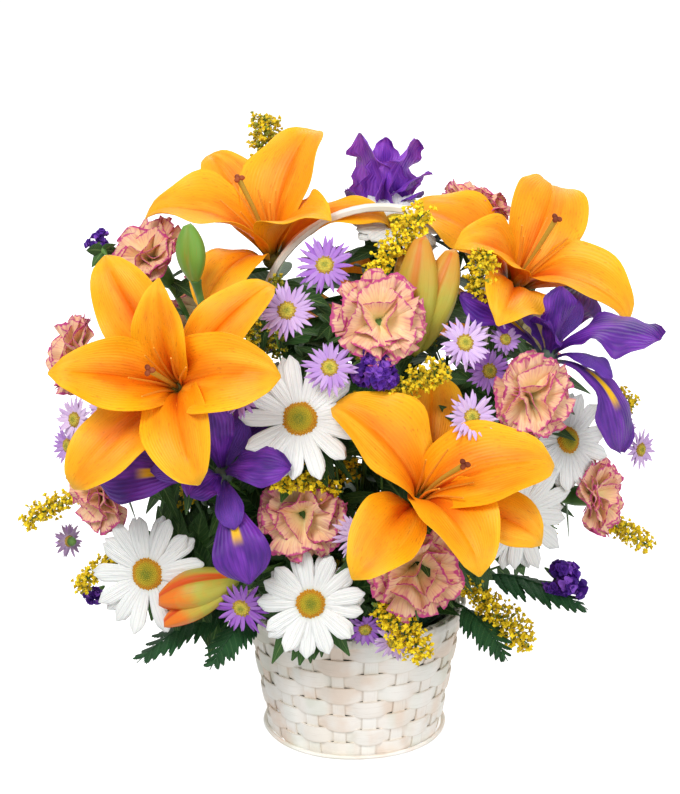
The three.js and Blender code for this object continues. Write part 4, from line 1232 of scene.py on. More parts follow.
@dataclass
class Basket:
    """The woven basket, its hoop, its liner and its foam.

    Attributes:
        splint: how thick a splint is.
        stake_width: how wide an upright stake is.
        stake_over: how far the stakes reach above the wall.
        handle_top: the height of the hoop's top.
        half_span: half the hoop's span.
        lean: how far the hoop's top leans to the right.
        lean_from: the height from which it leans.
        hoop_width: how wide the hoop's splint is.
        hoop_thick: how thick it is.
        rim_top: the height of the rim's outer hoop.
        rim_out: how far it stands out past the mouth.
        lashings: how many lashings hold the rim.
        cane: the radius of the foot's cane.
        strip: the width of a splint of the floor, and the distance to the next.
        lining: the gap between the liner and the wall, and between the foam and the wall.
        seed: the start of its random draws.
    """

    splint: float = 1.0
    stake_width: float = 9.0
    stake_over: float = 3.0
    handle_top: float = 356.0
    half_span: float = 72.0
    lean: float = 16.0
    lean_from: float = 100.0
    hoop_width: float = 8.8
    hoop_thick: float = 4.2
    rim_top: float = 90.0
    rim_out: float = 3.0
    lashings: int = 40
    cane: float = 1.5
    strip: tuple[float, float] = (8.6, 9.6)
    lining: tuple[float, float] = (6.2, 7.7)
    seed: int = 5
    rng: np.random.Generator = field(init=False)

    def __post_init__(self) -> None:
        """Starts the random draws."""
        self.rng = np.random.default_rng(self.seed)

    def weave(self, turn: Array, row: int) -> Array:
        """How far a row of splint stands out at a turn, from -1 behind a stake to 1 over one."""
        wave = np.cos((turn / FULL_TURN * STAKES - 0.5 + row) * math.pi)
        return np.sign(wave) * np.abs(wave) ** 0.7

    def ring(self, radius: float, count: int, height: float, cuts: int, thick: float) -> Object:
        """A round band that stands on the ground level.

        Args:
            radius: its middle radius.
            count: corners round it.
            height: its height.
            cuts: faces up it.
            thick: its thickness.

        Returns:
            The band, as a piece at the origin.
        """
        circle = bpy.ops.mesh.primitive_circle_add
        band = Bench.add(circle, vertices=count, radius=radius, fill_type="NOTHING")
        Bench.edit(band, Bench.raised(cuts, height / cuts))
        return Bench.apply(band, "SOLIDIFY", thickness=thick, offset=0.0)

    def rows(self) -> Shape:
        """The level splints, one to a row.

        Returns:
            The rows as one form.
        """
        bottom, top = 0.5, BASKET_HEIGHT - 0.5
        rise = (top - bottom) / WEAVE_ROWS
        foot = wall_radius(0)
        made = []
        for row in range(WEAVE_ROWS):
            blank = Shape.taken(self.ring(1.0, STAKES * 10, 1.0, 4, self.splint / foot))
            turn, far = polar(blank.corners)
            high = blank.corners[:, 2]
            sag = 0.5 * np.sin(3 * turn + row * 1.7) + 0.3 * np.sin(7 * turn + row)
            over = self.weave(turn, row)
            tall = rise * (1.06 + 0.1 * over)
            z = bottom + (row + 0.5) * rise + (high - 0.5) * tall - 0.5 * over + 0.4 * sag
            z = np.clip(z, bottom, top)
            crown = 0.3 * (1 - (2 * high - 1) ** 2)
            radius = wall_radius(z) + WEAVE_RELIEF * over + (far - 1) * foot + crown
            corners = columns(radius * np.cos(turn), radius * np.sin(turn), z)
            growth = columns(np.abs(turn) * GROWTH_TURN, 2 * high - 1, 0)
            made.append(blank.formed(corners, self.rng.uniform(), growth))
        return Shape.joined(made)

    def stakes(self) -> Shape:
        """The upright splints.

        Returns:
            The stakes as one form.
        """
        blank = Blanks.blade(34, 3)
        along, across, side = blank.corners.T
        made = []
        for stake in range(STAKES):
            middle = (stake + 0.5) / STAKES * FULL_TURN
            z = 1.0 + along * (BASKET_HEIGHT + self.stake_over)
            half = self.stake_width / 2 * self.rng.uniform(0.88, 1.06)
            turn = middle + across * half / wall_radius(z) + self.rng.normal(0, 0.01)
            row = np.clip(z / BASKET_HEIGHT * WEAVE_ROWS, 0, WEAVE_ROWS) - 0.5
            tuck = -0.45 * np.cos(math.pi * (stake + row))
            radius = wall_radius(z) + tuck + side * self.splint
            corners = columns(radius * np.cos(turn), radius * np.sin(turn), z)
            made.append(blank.formed(corners, self.rng.uniform(), columns(along * 12, across, 0)))
        return Shape.joined(made)

    def hoop_path(self) -> Array:
        """The hoop's middle line: two legs inside the wall, and half a circle over the flowers.

        Returns:
            Places along the middle line.
        """
        leg_thick, foot = 5.0, 14.0

        def leg_x(z: float) -> float:
            """How far out a leg stands."""
            return (wall_radius(z) - WALL) * math.cos(math.pi / STAKES) - leg_thick / 2 - 0.8

        left = [(-leg_x(foot), foot), (-leg_x(BASKET_HEIGHT - 3), BASKET_HEIGHT + 2)]
        left.append((-self.half_span + 2, 170.0))
        centre = self.handle_top - self.half_span
        turns = [math.pi * (1 - k / 8) for k in range(9)]
        arch = [(self.half_span * math.cos(t), centre + self.half_span * math.sin(t)) for t in turns]
        right = [(-x, z) for x, z in reversed(left)]
        rise = self.handle_top - self.lean_from
        flat = [*left, *arch, *right]
        shares = [max(0.0, (z - self.lean_from) / rise) for _, z in flat]
        return smooth_path([(x + self.lean * share, 0, z) for (x, z), share in zip(flat, shares)], 160)

    def hoop(self) -> Shape:
        """The hoop: one broad splint with a rounded outer face.

        Returns:
            The hoop.
        """
        blank = Blanks.blade(100, 8)
        along, across, side = blank.corners.T
        place, ahead, _, _ = along_path(self.hoop_path(), along)
        level = np.array([0.0, 1.0, 0.0])
        out = unit(np.cross(level, ahead))
        crown = 0.5 * (1 - across**2) * side
        rise = side * self.hoop_thick * (1 - 0.4 * np.abs(across) ** 5) + crown + 0.25 * np.sin(along * 31)
        wander = 0.3 * np.sin(along * 19)
        corners = place + out * rise[:, None] + level * (across * self.hoop_width / 2 + wander)[:, None]
        return blank.formed(corners, 0.31, columns(along * 60, across, 0))

    def rim_hoop(self, inner: float, outer: float, high: float, tint: float) -> Shape:
        """A flat hoop of the rim, with rounded edges.

        Args:
            inner: its inner radius.
            outer: its outer radius.
            high: the height of its upper edge.
            tint: the third value of its growth.

        Returns:
            The hoop.
        """
        low, thick = BASKET_HEIGHT - 1, outer - inner
        band = self.ring((inner + outer) / 2, 120, high - low, 1, thick)
        shape = Shape.taken(Bench.apply(band, "BEVEL", width=min(thick, high - low) * 0.3, segments=2))
        turn, _ = polar(shape.corners)
        shape.corners[:, 2] += low + 0.25 * np.sin(5 * turn + tint * 9)
        up = (shape.corners[:, 2] - low) / (high - low)
        return shape.formed(shape.corners, tint, columns(np.abs(turn) * GROWTH_TURN, up, 0))

    def rim(self) -> Shape:
        """The rim: a hoop inside, a hoop outside, and lashings over both.

        Returns:
            The rim as one form.
        """
        inside, outside = wall_radius(BASKET_HEIGHT) - WALL, MOUTH_RADIUS + self.rim_out
        hoops = [
            self.rim_hoop(outside - 2.4, outside, self.rim_top, 0.2),
            self.rim_hoop(inside, inside + 2.2, self.rim_top - 0.4, 0.6),
        ]
        loop = smooth_path(
            [(inside - 0.2, 0, 85), (inside + 0.6, 0, 89.8), (outside - 0.8, 0, 90.2), (outside + 0.2, 0, 86),
             (outside - 1.2, 0, 84), (inside + 1, 0, 83.8), (inside - 0.2, 0, 85)], 60,
        )
        wrap = tube(loop, lambda s: 0.55, 18, 5)
        count = self.lashings
        turns = np.arange(count) / count * FULL_TURN + self.rng.normal(0, 0.02, count)
        cos, sin = np.cos(turns), np.sin(turns)
        axes = np.stack([columns(cos, sin, 0), 2.6 * columns(-sin, cos, 0), columns(0 * cos, 0, 1)], axis=1)
        growth = columns(turns * 3, 0, self.rng.uniform(size=count))
        return Shape.joined([*hoops, wrap.scattered(np.zeros((count, 3)), axes, growth)])

    def foot(self) -> Shape:
        """The loose cane round the foot.

        Returns:
            The cane.
        """
        middle, centre = wall_radius(3.6) + WEAVE_RELIEF + 2.2, self.cane + 0.2
        torus = bpy.ops.mesh.primitive_torus_add
        cane = Shape.taken(Bench.add(
            torus, major_radius=middle, minor_radius=self.cane, major_segments=120, minor_segments=10
        ))
        turn, reach = polar(cane.corners)
        reach = reach + 0.4 * np.sin(3 * turn)
        z = cane.corners[:, 2] * 0.9 + centre + 0.35 * np.sin(4 * turn + 1)
        corners = columns(reach * np.cos(turn), reach * np.sin(turn), np.maximum(z, 0))
        growth = columns(np.abs(turn) * GROWTH_TURN, (z - centre) / self.cane, 0)
        return cane.formed(corners, 0.8, growth)

    def base(self) -> Shape:
        """The floor: splints that cross one another, cut to a round.

        Returns:
            The splints as one form.
        """
        radius = wall_radius(0) - WALL - 1.2
        (wide, pitch), made = self.strip, []
        blank = Blanks.blade(24, 2)
        along, across, side = blank.corners.T
        for layer in (0, 1):
            for strip in range(-5, 6):
                edge = abs(strip) * pitch + wide / 2
                if edge >= radius:
                    continue
                x = (2 * along - 1) * math.sqrt(radius**2 - edge**2)
                z = 2.0 + 0.5 * np.cos(math.pi * (x / pitch + strip + layer)) + side * 1.3
                y = strip * pitch + across * wide / 2
                corners = columns(x, y, z) if layer == 0 else columns(y, x, z)
                made.append(blank.formed(corners, self.rng.uniform(), columns(x / 6, across, 0)))
        return Shape.joined(made)

    def lathed(self, profile: Sequence[tuple[float, float]], rough: float = 0.0) -> Shape:
        """A round body, spun from its profile.

        Args:
            profile: pairs of radius and height that start and end on the axis.
            rough: how far its surface wanders.

        Returns:
            The body.
        """
        disc = Bench.add(bpy.ops.mesh.primitive_circle_add, vertices=64, radius=1, fill_type="TRIFAN")
        body = Shape.taken(Bench.edit(disc, Bench.raised(len(profile) - 3, 1)))
        level = np.round(body.corners[:, 2]).astype(int) + 1
        middle = polar(body.corners)[1] < 0.1
        level = np.where(middle & (level == 1), 0, level)
        level = np.where(middle & (body.corners[:, 2] > 0.5), len(profile) - 1, level)
        sizes = np.array(profile, float)
        corners = body.corners.copy()
        corners[:, :2] *= sizes[level, 0][:, None]
        corners[middle, :2] = 0
        corners[:, 2] = sizes[level, 1] + rough * self.rng.normal(size=len(level))
        return body.formed(corners, 0.5)

    def inside(self, floor: float, gap: float) -> tuple[float, float]:
        """The radius of what stands in the basket, at its floor and at the mouth."""
        return wall_radius(floor) - WALL - gap, wall_radius(BASKET_HEIGHT) - WALL - gap

    def liner(self) -> Shape:
        """The thin plastic liner, open at the top.

        Returns:
            The liner.
        """
        low, high = self.inside(4.6, self.lining[0])
        return self.lathed(
            [(0, 4.6), (low - 2, 4.6), (low, 6.6), (high, 87.0), (high + 0.8, 88.0), (high - 1, 88.0),
             (high - 1.2, 87.0), (low - 1, 6.6), (low - 3, 5.6), (0, 5.6)]
        )

    def foam(self) -> Shape:
        """The soaked foam.

        Returns:
            The foam.
        """
        low, high = self.inside(4.6, self.lining[1])
        rings = [(0, 6.1), (low, 6.1), (high, 87.0), (high - 2.5, 91.5), (high - 7, 95.6)]
        rings += [(high * share, FOAM_TOP) for share in (0.7, 0.5, 0.3, 0.12)]
        return self.lathed([*rings, (0, FOAM_TOP)], 0.25)

    def build(self) -> None:
        """Makes and delivers the basket's pieces."""
        deliver("basket_splint_rows", self.rows(), Looks.SPLINT, "basket_wall", sharp=45)
        deliver("basket_stakes", self.stakes(), Looks.SPLINT, sharp=45)
        deliver("basket_hoop", self.hoop(), Looks.SPLINT, "basket_handle", sharp=45)
        deliver("basket_rim_hoops", self.rim(), Looks.SPLINT, "basket_rim", sharp=45)
        deliver("basket_foot_cane", self.foot(), Looks.SPLINT, "basket_foot")
        deliver("basket_floor", self.base(), Looks.SPLINT, "basket_base", sharp=45)
        deliver("liner_shell", self.liner(), Looks.LINER, "liner")
        deliver("soaked_foam", self.foam(), Looks.FOAM, "foam")


# Lilies


@dataclass(frozen=True)
class TepalLayer:
    """How one of the two layers of tepals leaves the throat.

    Attributes:
        start: the angle from the lily's axis at the root, in degrees.
        root: how far from the axis it starts.
        cup: how far the edges stand up.
    """

    start: float
    root: float
    cup: float


@dataclass
class Lily:
    """An open lily.

    Attributes:
        name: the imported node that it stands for.
        face: its place and the way it faces.
        tepals: the turn, opening angle, length and width of each, inner and outer by turns.
        seed: the start of its random draws.
        lean: how far the style's end leans across the bloom.
        inner: how the inner tepals leave the throat.
        outer: how the outer ones do.
        style: how long the style is.
        filaments: how many bare filaments stand round it.
        thick: how thick a tepal is.
        groove: how deep its middle groove is.
        ridge: how high the ridges beside the groove are.
        fold: how high the folds along it are.
        ruffle: how far its edge waves, as a share of its width.
        roll: how far it rolls to one side, as a share of its width.
        sway: how far its end bends to the side, as a share of its length.
        hook: how far its tip bends back.
    """

    name: str
    face: Facing
    tepals: Sequence[tuple[float, float, float, float]]
    seed: int
    lean: tuple[float, float] = (0.0, 0.0)
    inner: TepalLayer = TepalLayer(8, 2.4, 0.6)
    outer: TepalLayer = TepalLayer(27, 5.2, 0.16)
    style: float = 62.0
    filaments: int = 6
    thick: float = 0.8
    groove: float = 2.4
    ridge: float = 0.9
    fold: float = 0.5
    ruffle: float = 0.075
    roll: float = 0.14
    sway: float = 0.045
    hook: float = 6.0

    def tepal(self, size: tuple[float, float, float, float], layer: TepalLayer, phase: float) -> Shape:
        """One tepal, grooved along its rib and waved at its edge.

        Args:
            size: its turn, opening angle, length and width.
            layer: how it leaves the throat.
            phase: what its waves and bends start from.

        Returns:
            The tepal.
        """
        turn, opening, long, wide = size
        spine = self.face.arc(turn, layer.root, layer.start, opening, long)

        def point(along: Array, across: Array) -> Array:
            """The tepal's middle surface.

            Args:
                along: how far along, from 0 to 1.
                across: how far across, from -1 to 1.

            Returns:
                The places.
            """
            half = wide / 2 * np.sin(math.pi * (0.05 + 0.9 * along**1.2))
            half = half * np.minimum(1, (1.0 - along) / 0.07 + 0.06) ** 0.5
            cup = layer.cup * half * across**2 * (1.1 - 0.8 * along)
            open_part = np.sin(math.pi * np.clip(along, 0, 1))
            groove = -self.groove * np.exp(-((across / 0.12) ** 2))
            ridges = self.ridge * np.exp(-(((np.abs(across) - 0.3) / 0.1) ** 2))
            folds = self.fold * np.sin(21 * across + phase)
            wave = np.sin(9 * along + phase) + 0.6 * np.sin(17 * along + 2.3 * phase)
            ruffle = self.ruffle * wide * across**3 * wave
            roll = -self.roll * math.sin(3 * phase) * half * across * along
            tip = -self.hook * np.clip((along - 0.84) / 0.16, 0, 1) ** 2
            sway = self.sway * long * math.sin(5 * phase) * along**2
            lift = cup + (groove + ridges + folds + ruffle) * open_part + roll + tip
            return spine.place(along, half * across + sway, lift)

        return blade(point, 26, 12, self.thick, phase / PHASE_SPAN)

    def petals(self) -> Shape:
        """All tepals, and the throat that joins them.

        Returns:
            The tepals and the throat as one form.
        """
        rng = np.random.default_rng(self.seed)
        made = []
        for k, size in enumerate(self.tepals):
            layer = self.outer if k % 2 else self.inner
            made.append(self.tepal(size, layer, rng.uniform(0, PHASE_END)))
        throat = Blanks.ball(12, 8)
        x, y, z = throat.corners.T
        made.append(throat.formed(self.face.spot(z * 7 - 0.5, x * 6.4, y * 6.4)))
        return Shape.joined(made)

    def pistil(self) -> Shape:
        """The style and the bare filaments round it.

        Returns:
            The style and the filaments as one form.
        """
        rng = np.random.default_rng(self.seed + PISTIL_SEED)
        x, y = self.lean
        spots = [(-3, 0.0), (32, 0.35), (self.style, 1.0)]
        line = [self.face.spot(ahead, x * share, y * share) for ahead, share in spots]
        made = [tube(smooth_path(line, 20), lambda s: 1.35 + 0.6 * s**3, 10, 8, 0.3)]
        for k in range(self.filaments):
            turn = math.radians(self.tepals[k][0] + 8)
            long = self.style * rng.uniform(0.72, 0.84)
            spread = rng.uniform(0.2, 0.32)
            path = []
            for share, reach in [(0.0, 2.4), (0.5, 3 + 0.3 * long * spread), (1.0, 3 + long * spread)]:
                sway = 0.6 * share**2
                ahead = share * long
                path.append(self.face.spot(
                    ahead, reach * math.cos(turn) + sway * x, reach * math.sin(turn) + sway * y
                ))
            made.append(tube(smooth_path(path, 16), lambda s: 1.0 - 0.45 * s, 8, 6, 0.85))
        return Shape.joined(made)

    def stigma(self) -> Shape:
        """Three rounded lobes at the style's end.

        Returns:
            The lobes as one form.
        """
        lobe = Blanks.ball(10, 7)
        x, y, z = lobe.corners.T
        made = []
        for k in range(3):
            turn = FULL_TURN * k / 3
            cos, sin = math.cos(turn), math.sin(turn)
            across, over = 1.9 + x * 2.1, y * 1.8
            right, up = across * cos - over * sin, across * sin + over * cos
            place = self.face.spot(self.style + 0.6 + z * 1.7, right + self.lean[0], up + self.lean[1])
            made.append(lobe.formed(place))
        return Shape.joined(made)

    def build(self) -> None:
        """Makes and delivers the bloom."""
        deliver(self.name + "_petals", self.petals(), Looks.LILY, self.name)
        deliver(self.name + "_pistil", self.pistil(), Looks.PISTIL)
        deliver(self.name + "_stigma", self.stigma(), Looks.STIGMA)


@dataclass
class BudCluster:
    """Buds that share a stalk: each has its place, direction, length and width.

    Attributes:
        name: the pieces' first name.
        buds: place, direction, length and width of each bud.
        ripe: how orange they are.
        nodes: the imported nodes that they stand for.
        look: their finish.
    """

    name: str
    buds: Sequence[tuple[Point, Point, float, float]]
    ripe: float
    nodes: Sequence[str] = ()
    look: Looks = Looks.BUD

    def bud(self, at: Point, towards: Point, long: float, wide: float, turn: float) -> Shape:
        """One bud: three broad ribs with deep seams between them, closed to a blunt tip.

        Args:
            at: the place of its foot.
            towards: the way it points.
            long: its length.
            wide: its width.
            turn: how far its seams are turned, in radians.

        Returns:
            The bud.
        """
        face = Facing(at, towards)
        blank = Blanks.ball(30, 24)
        x, y, z = blank.corners.T
        along = 0.5 + np.arcsin(np.clip(z, -1, 1)) / math.pi
        angle = np.arctan2(y, x) + turn
        body = wide / 2 * np.sin(math.pi * (0.04 + 0.9 * along)) ** 0.85
        body = np.where(along < 0.02, 0.5, body)
        seam = np.abs(((angle / FULL_TURN * 3) % 1.0) - 0.5) * 2
        body = body * (1.04 - 0.3 * np.exp(-(((1 - seam) / 0.22) ** 2)))
        body = body * (1 + 0.05 * np.cos(6 * angle))
        twist = angle + 0.35 * along
        ahead = long * (along + 0.02 * np.sin(math.pi * along))
        corners = face.spot(ahead, body * np.cos(twist), body * np.sin(twist))
        growth = columns(along, np.cos(3 * angle), 0)
        return blank.formed(corners, self.ripe, growth)

    def build(self) -> None:
        """Makes and delivers the buds."""
        shapes = [self.bud(*bud, turn=0.7 * k) for k, bud in enumerate(self.buds)]
        deliver(self.name, Shape.joined(shapes), self.look, *self.nodes, sharp=80)


# Irises


@dataclass(frozen=True)
class IrisBlade:
    """One kind of iris petal.

    Attributes:
        start: the angle from the iris's axis at the root, in degrees.
        wide: its width.
        waist: how near the tip it is broadest.
        root: how far from the axis it starts.
        tint: the third value of its growth.
        ruffle: how far its edge waves, as a share of its width.
    """

    start: float
    wide: float
    waist: float
    root: float
    tint: float
    ruffle: float


IRIS_KINDS = {
    "falls": IrisBlade(50, 36, 2.2, 6.0, 1.0, 0.07),
    "standards": IrisBlade(2, 26, 2.0, 2.4, 0.0, 0.1),
    "arms": IrisBlade(24, 18, 1.8, 4.2, 0.55, 0.06),
}


@dataclass
class Iris:
    """An iris: falls, standards between them, and a style arm over each fall.

    Attributes:
        name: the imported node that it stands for.
        face: its place and the way it faces.
        blades: for each kind, the turn, end angle, length and perhaps width of each petal.
        seed: the start of its random draws.
        look: its finish.
        thick: how thick a petal is.
        rib: how high its rib stands at the foot.
    """

    name: str
    face: Facing
    blades: Mapping[str, Sequence[tuple[float, ...]]]
    seed: int
    look: Looks = Looks.IRIS
    thick: float = 0.7
    rib: float = 0.9

    def petal(self, kind: IrisBlade, size: tuple[float, ...], phase: float) -> Shape:
        """One petal, waved at its edge.

        Args:
            kind: the kind of petal.
            size: its turn, end angle, length, and perhaps width and waist.
            phase: what its waves start from.

        Returns:
            The petal.
        """
        turn, end, long = size[:3]
        wide = size[3] if len(size) > 3 else kind.wide
        waist = size[4] if len(size) > 4 else kind.waist
        ragged = 0.1 if len(size) > 4 else 0.0
        spine = self.face.arc(turn, kind.root, kind.start, end, long)

        def point(along: Array, across: Array) -> Array:
            """The petal's middle surface.

            Args:
                along: how far along, from 0 to 1.
                across: how far across, from -1 to 1.

            Returns:
                The places.
            """
            belly = np.maximum(np.sin(math.pi * (0.05 + 0.87 * along**waist)), 0.16)
            tooth = np.sin(27 * along + phase + 2 * across) + np.sin(41 * along - 2 * phase)
            belly = belly * (1 + ragged * tooth * np.clip(along * 2, 0, 1))
            half = wide / 2 * belly * np.minimum(1, (1 - along) / 0.09 + 0.12) ** 0.5
            cup = -0.18 * half * across**2
            wave = np.sin(13 * along + phase) + 0.5 * np.sin(23 * along + 2 * phase + across)
            open_part = np.clip(along * 1.6, 0, 1)
            ruffle = kind.ruffle * wide * np.abs(across) ** 2.5 * wave * open_part
            rib = self.rib * np.exp(-((across / 0.12) ** 2)) * (1 - along)
            return spine.place(along, half * across, cup + ruffle + rib)

        return blade(point, 24, 12, self.thick, kind.tint)

    def build(self) -> None:
        """Makes and delivers the bloom."""
        rng = np.random.default_rng(self.seed)
        made = []
        for name, kind in IRIS_KINDS.items():
            for size in self.blades[name]:
                made.append(self.petal(kind, size, rng.uniform(0, PHASE_END)))
        throat = Blanks.ball(10, 8)
        x, y, z = throat.corners.T
        made.append(throat.formed(self.face.spot(z * 7.5 - 1.5, x * 6.2, y * 6.2)))
        deliver(self.name + "_petals", Shape.joined(made), self.look, self.name)


# Daisies, asters and other round heads


def square_to(ways: Array, rng: np.random.Generator) -> Array:
    """A random direction square to each of these ways."""
    return unit(np.cross(ways, rng.normal(size=ways.shape)))


def axes_along(ways: Array, side: Array, wide: Array, long: Array) -> Array:
    """For each copy, what its axes turn into: two across its way and one along it."""
    return np.stack([side * wide, np.cross(ways, side) * wide, ways * long], axis=1)


def seeds_on_dome(face: Facing, count: int, radius: float, top: float, low: float, size: float) -> Shape:
    """Florets in spirals over a dome.

    Args:
        face: the head's place and the way it faces.
        count: how many there are.
        radius: the dome's radius.
        top: its height in the middle.
        low: its height at the rim.
        size: a floret's radius.

    Returns:
        The florets as one form, with their share of the radius in the growth.
    """
    number = np.arange(count)
    share = np.sqrt((number + 0.5) / count)
    turn = number * GOLDEN_ANGLE
    high = low + (top - low) * (1 - share**2)
    places = face.spot(high, radius * share * np.cos(turn), radius * share * np.sin(turn))
    axes = np.stack([face.right, face.up, face.out]) * size
    axes = np.repeat(axes[None], count, axis=0) * (0.75 + 0.4 * share)[:, None, None]
    growth = columns(share, 0, 0)
    return Blanks.ball(5, 3).scattered(places, axes, growth)


@dataclass
class Daisy:
    """A white daisy with two overlapping rows of grooved petals.

    Attributes:
        name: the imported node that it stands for.
        face: its place and the way it faces.
        radius: how far its petals reach.
        seed: the start of its random draws.
        count: how many petals its upper row has.
        hub: how far from the middle a petal starts.
        wide: how wide a petal is.
        thick: how thick it is.
        groove: how deep its grooves are.
        dish: how far the petals rise outward.
        disc_share: the disc's share of the radius.
        disc_high: how high the disc's dome is.
    """

    name: str
    face: Facing
    radius: float
    seed: int
    count: int = 13
    hub: float = 6.0
    wide: float = 10.6
    thick: float = 0.6
    groove: float = 0.5
    dish: float = 0.1
    disc_share: float = 0.272
    disc_high: float = 4.6

    def petal(self, turn: float, long: float, lift: float, droop: float, phase: float) -> Shape:
        """One petal: a blunt strap with two grooves.

        Args:
            turn: its turn, in degrees.
            long: how far from the middle its tip lies.
            lift: how far it rises.
            droop: how far its tip falls.
            phase: what its waves start from.

        Returns:
            The petal.
        """
        radial = self.face.radial(turn)

        def point(along: Array, across: Array) -> Array:
            """The petal's middle surface.

            Args:
                along: how far along, from 0 to 1.
                across: how far across, from -1 to 1.

            Returns:
                The places.
            """
            reach = self.hub + (long - self.hub) * along * (1 - 0.035 * across**2 * along)
            swell = 0.42 + 0.58 * np.sin(math.pi / 2 * np.minimum(1, along / 0.62))
            tip = np.sqrt(np.maximum(1 - (np.maximum(along - 0.76, 0) / 0.24) ** 2, 0.05))
            half = self.wide / 2 * swell * tip
            ripple = np.cos(3 * math.pi * across) * np.sin(math.pi * np.clip(along, 0, 1))
            groove = self.groove * ripple
            curl = -1.3 * across**2 * along + 0.6 * np.sin(4 * along + phase)
            high = lift * along + self.dish * (reach - self.hub) - droop * along**2.5
            return self.face.off(radial, high + groove + curl, reach, half * across)

        return blade(point, 9, 8, self.thick, phase / PHASE_SPAN)

    def petals(self) -> Shape:
        """Both rows.

        Returns:
            The petals as one form.
        """
        rng = np.random.default_rng(self.seed)
        made = []
        for row, count in enumerate((self.count, self.count - 3)):
            for k in range(count):
                turn = (k + 0.5 * (1 - row)) * 360 / count + rng.normal(0, 3)
                long = self.radius * rng.uniform(0.93, 1.04) * (1 - 0.03 * row)
                lift = rng.normal(1.0, 1.0) - 2.2 * row
                droop = rng.uniform(0, 4.0) + 1.5 * row
                made.append(self.petal(turn, long, lift, droop, rng.uniform(0, PHASE_END)))
        return Shape.joined(made)

    def disc(self) -> Shape:
        """The domed middle and its florets.

        Returns:
            The disc as one form.
        """
        size = self.disc_share * self.radius
        dome = Blanks.ball(20, 10)
        x, y, z = dome.corners.T
        growth = columns(np.hypot(x, y), 0, 0)
        body = dome.formed(self.face.spot(z * self.disc_high - 1.2, x * size, y * size), 0.0, growth)
        florets = seeds_on_dome(self.face, int(2.2 * size**2), size - 0.3, 3.7, 0.4, 0.8)
        return Shape.joined([body, florets])

    def build(self) -> None:
        """Makes and delivers the bloom."""
        deliver(self.name + "_petals", self.petals(), Looks.DAISY, self.name)
        deliver(self.name + "_disc", self.disc(), Looks.DAISY_DISC)


@dataclass
class Carnation:
    """A frilled carnation over its calyx.

    Attributes:
        name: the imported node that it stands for.
        face: its place and the way it faces.
        radius: how far its petals reach.
        seed: the start of its random draws.
        top: the height of the calyx's top, from the bloom's place.
        long: how long the calyx is.
        cup: the calyx's radius.
        thick: how thick a petal is.
        teeth: how many teeth a petal has.
        tooth: how long they are, as a share of the petal.
        frill: how far a petal waves, as a share of the radius.
        rings: for each ring of petals, their number, start and end angles, and share of the radius.
    """

    name: str
    face: Facing
    radius: float
    seed: int
    top: float = -5.4
    long: float = 20.0
    cup: float = 6.5
    thick: float = 0.55
    teeth: int = 13
    tooth: float = 0.035
    frill: float = 0.16
    rings: Sequence[tuple[int, float, float, float]] = (
        (3, 4, 34, 0.8), (4, 10, 64, 0.9), (5, 18, 92, 0.94), (6, 24, 116, 0.95),
    )

    def petal(self, turn: float, start: float, end: float, long: float, phase: float) -> Shape:
        """One fan-shaped petal, frilled and toothed at its edge.

        Args:
            turn: its turn, in degrees.
            start: its angle from the axis at the root.
            end: its angle at the edge.
            long: its length.
            phase: what its waves and teeth start from.

        Returns:
            The petal.
        """
        foot = Facing(tuple(self.face.spot(self.top, 0, 0)), tuple(self.face.out))
        spine = foot.arc(turn, 1.5, start, end, long)
        wide = 0.76 * self.radius

        def point(along: Array, across: Array) -> Array:
            """The petal's middle surface.

            Args:
                along: how far along, from 0 to 1.
                across: how far across, from -1 to 1.

            Returns:
                The places.
            """
            tooth = np.abs(((across * self.teeth / 2 + phase) % 1.0) - 0.5) * 2
            tooth = self.tooth * tooth * np.clip((along - 0.82) / 0.18, 0, 1)
            reach = along * (1 - 0.3 * np.abs(across) ** 2.6 + tooth)
            half = wide * (0.16 + 0.98 * np.clip(along, 0, 1) ** 1.4)
            wave = np.sin(4.4 * across + phase) + 0.3 * np.sin(9.5 * across + 2 * phase)
            frill = self.frill * self.radius * wave * np.clip(along, 0, 1) ** 1.6
            cup = 0.1 * half * across**2
            return spine.place(reach, half * across, frill + cup)

        return blade(point, 6, 26, self.thick, (phase / 6.3) % 1.0, 0.4)

    def petals(self) -> Shape:
        """Petals in rings, from upright in the middle to level at the rim.

        Returns:
            The petals as one form.
        """
        rng = np.random.default_rng(self.seed)
        made = []
        for ring, (count, start, end, long) in enumerate(self.rings):
            for k in range(count):
                turn = (k + 0.5 * (ring % 2)) * 360 / count + rng.normal(0, 7)
                reach = self.radius * long * rng.uniform(0.92, 1.05)
                tilt = end + rng.normal(0, 6)
                made.append(self.petal(turn, start, tilt, reach, rng.uniform(0, PHASE_END)))
        return Shape.joined(made)

    def calyx(self) -> Shape:
        """The green cup under the petals, with five teeth.

        Returns:
            The calyx.
        """
        blank = Blanks.tube(8, 20)
        x, y, z = blank.corners.T
        angle = np.arctan2(y, x)
        body = self.cup * (0.5 + 0.5 * np.clip(z * 1.6, 0, 1) ** 0.6)
        tooth = 3.2 * np.abs(np.cos(2.5 * angle)) * (z > 0.95)
        ahead = self.top - self.long + z * (self.long + 1) + tooth
        growth = columns(z, angle / math.pi, 0)
        return blank.formed(self.face.spot(ahead, body * x, body * y), 0.5, growth)

    def build(self) -> None:
        """Makes and delivers the bloom."""
        deliver(self.name + "_petals", self.petals(), Looks.CARNATION, self.name)
        deliver(self.name + "_calyx", self.calyx(), Looks.STEM)


@dataclass(frozen=True)
class Head:
    """A head on a spray: its place, its radius and its tint."""

    at: Point
    radius: float
    tint: float = 0.5


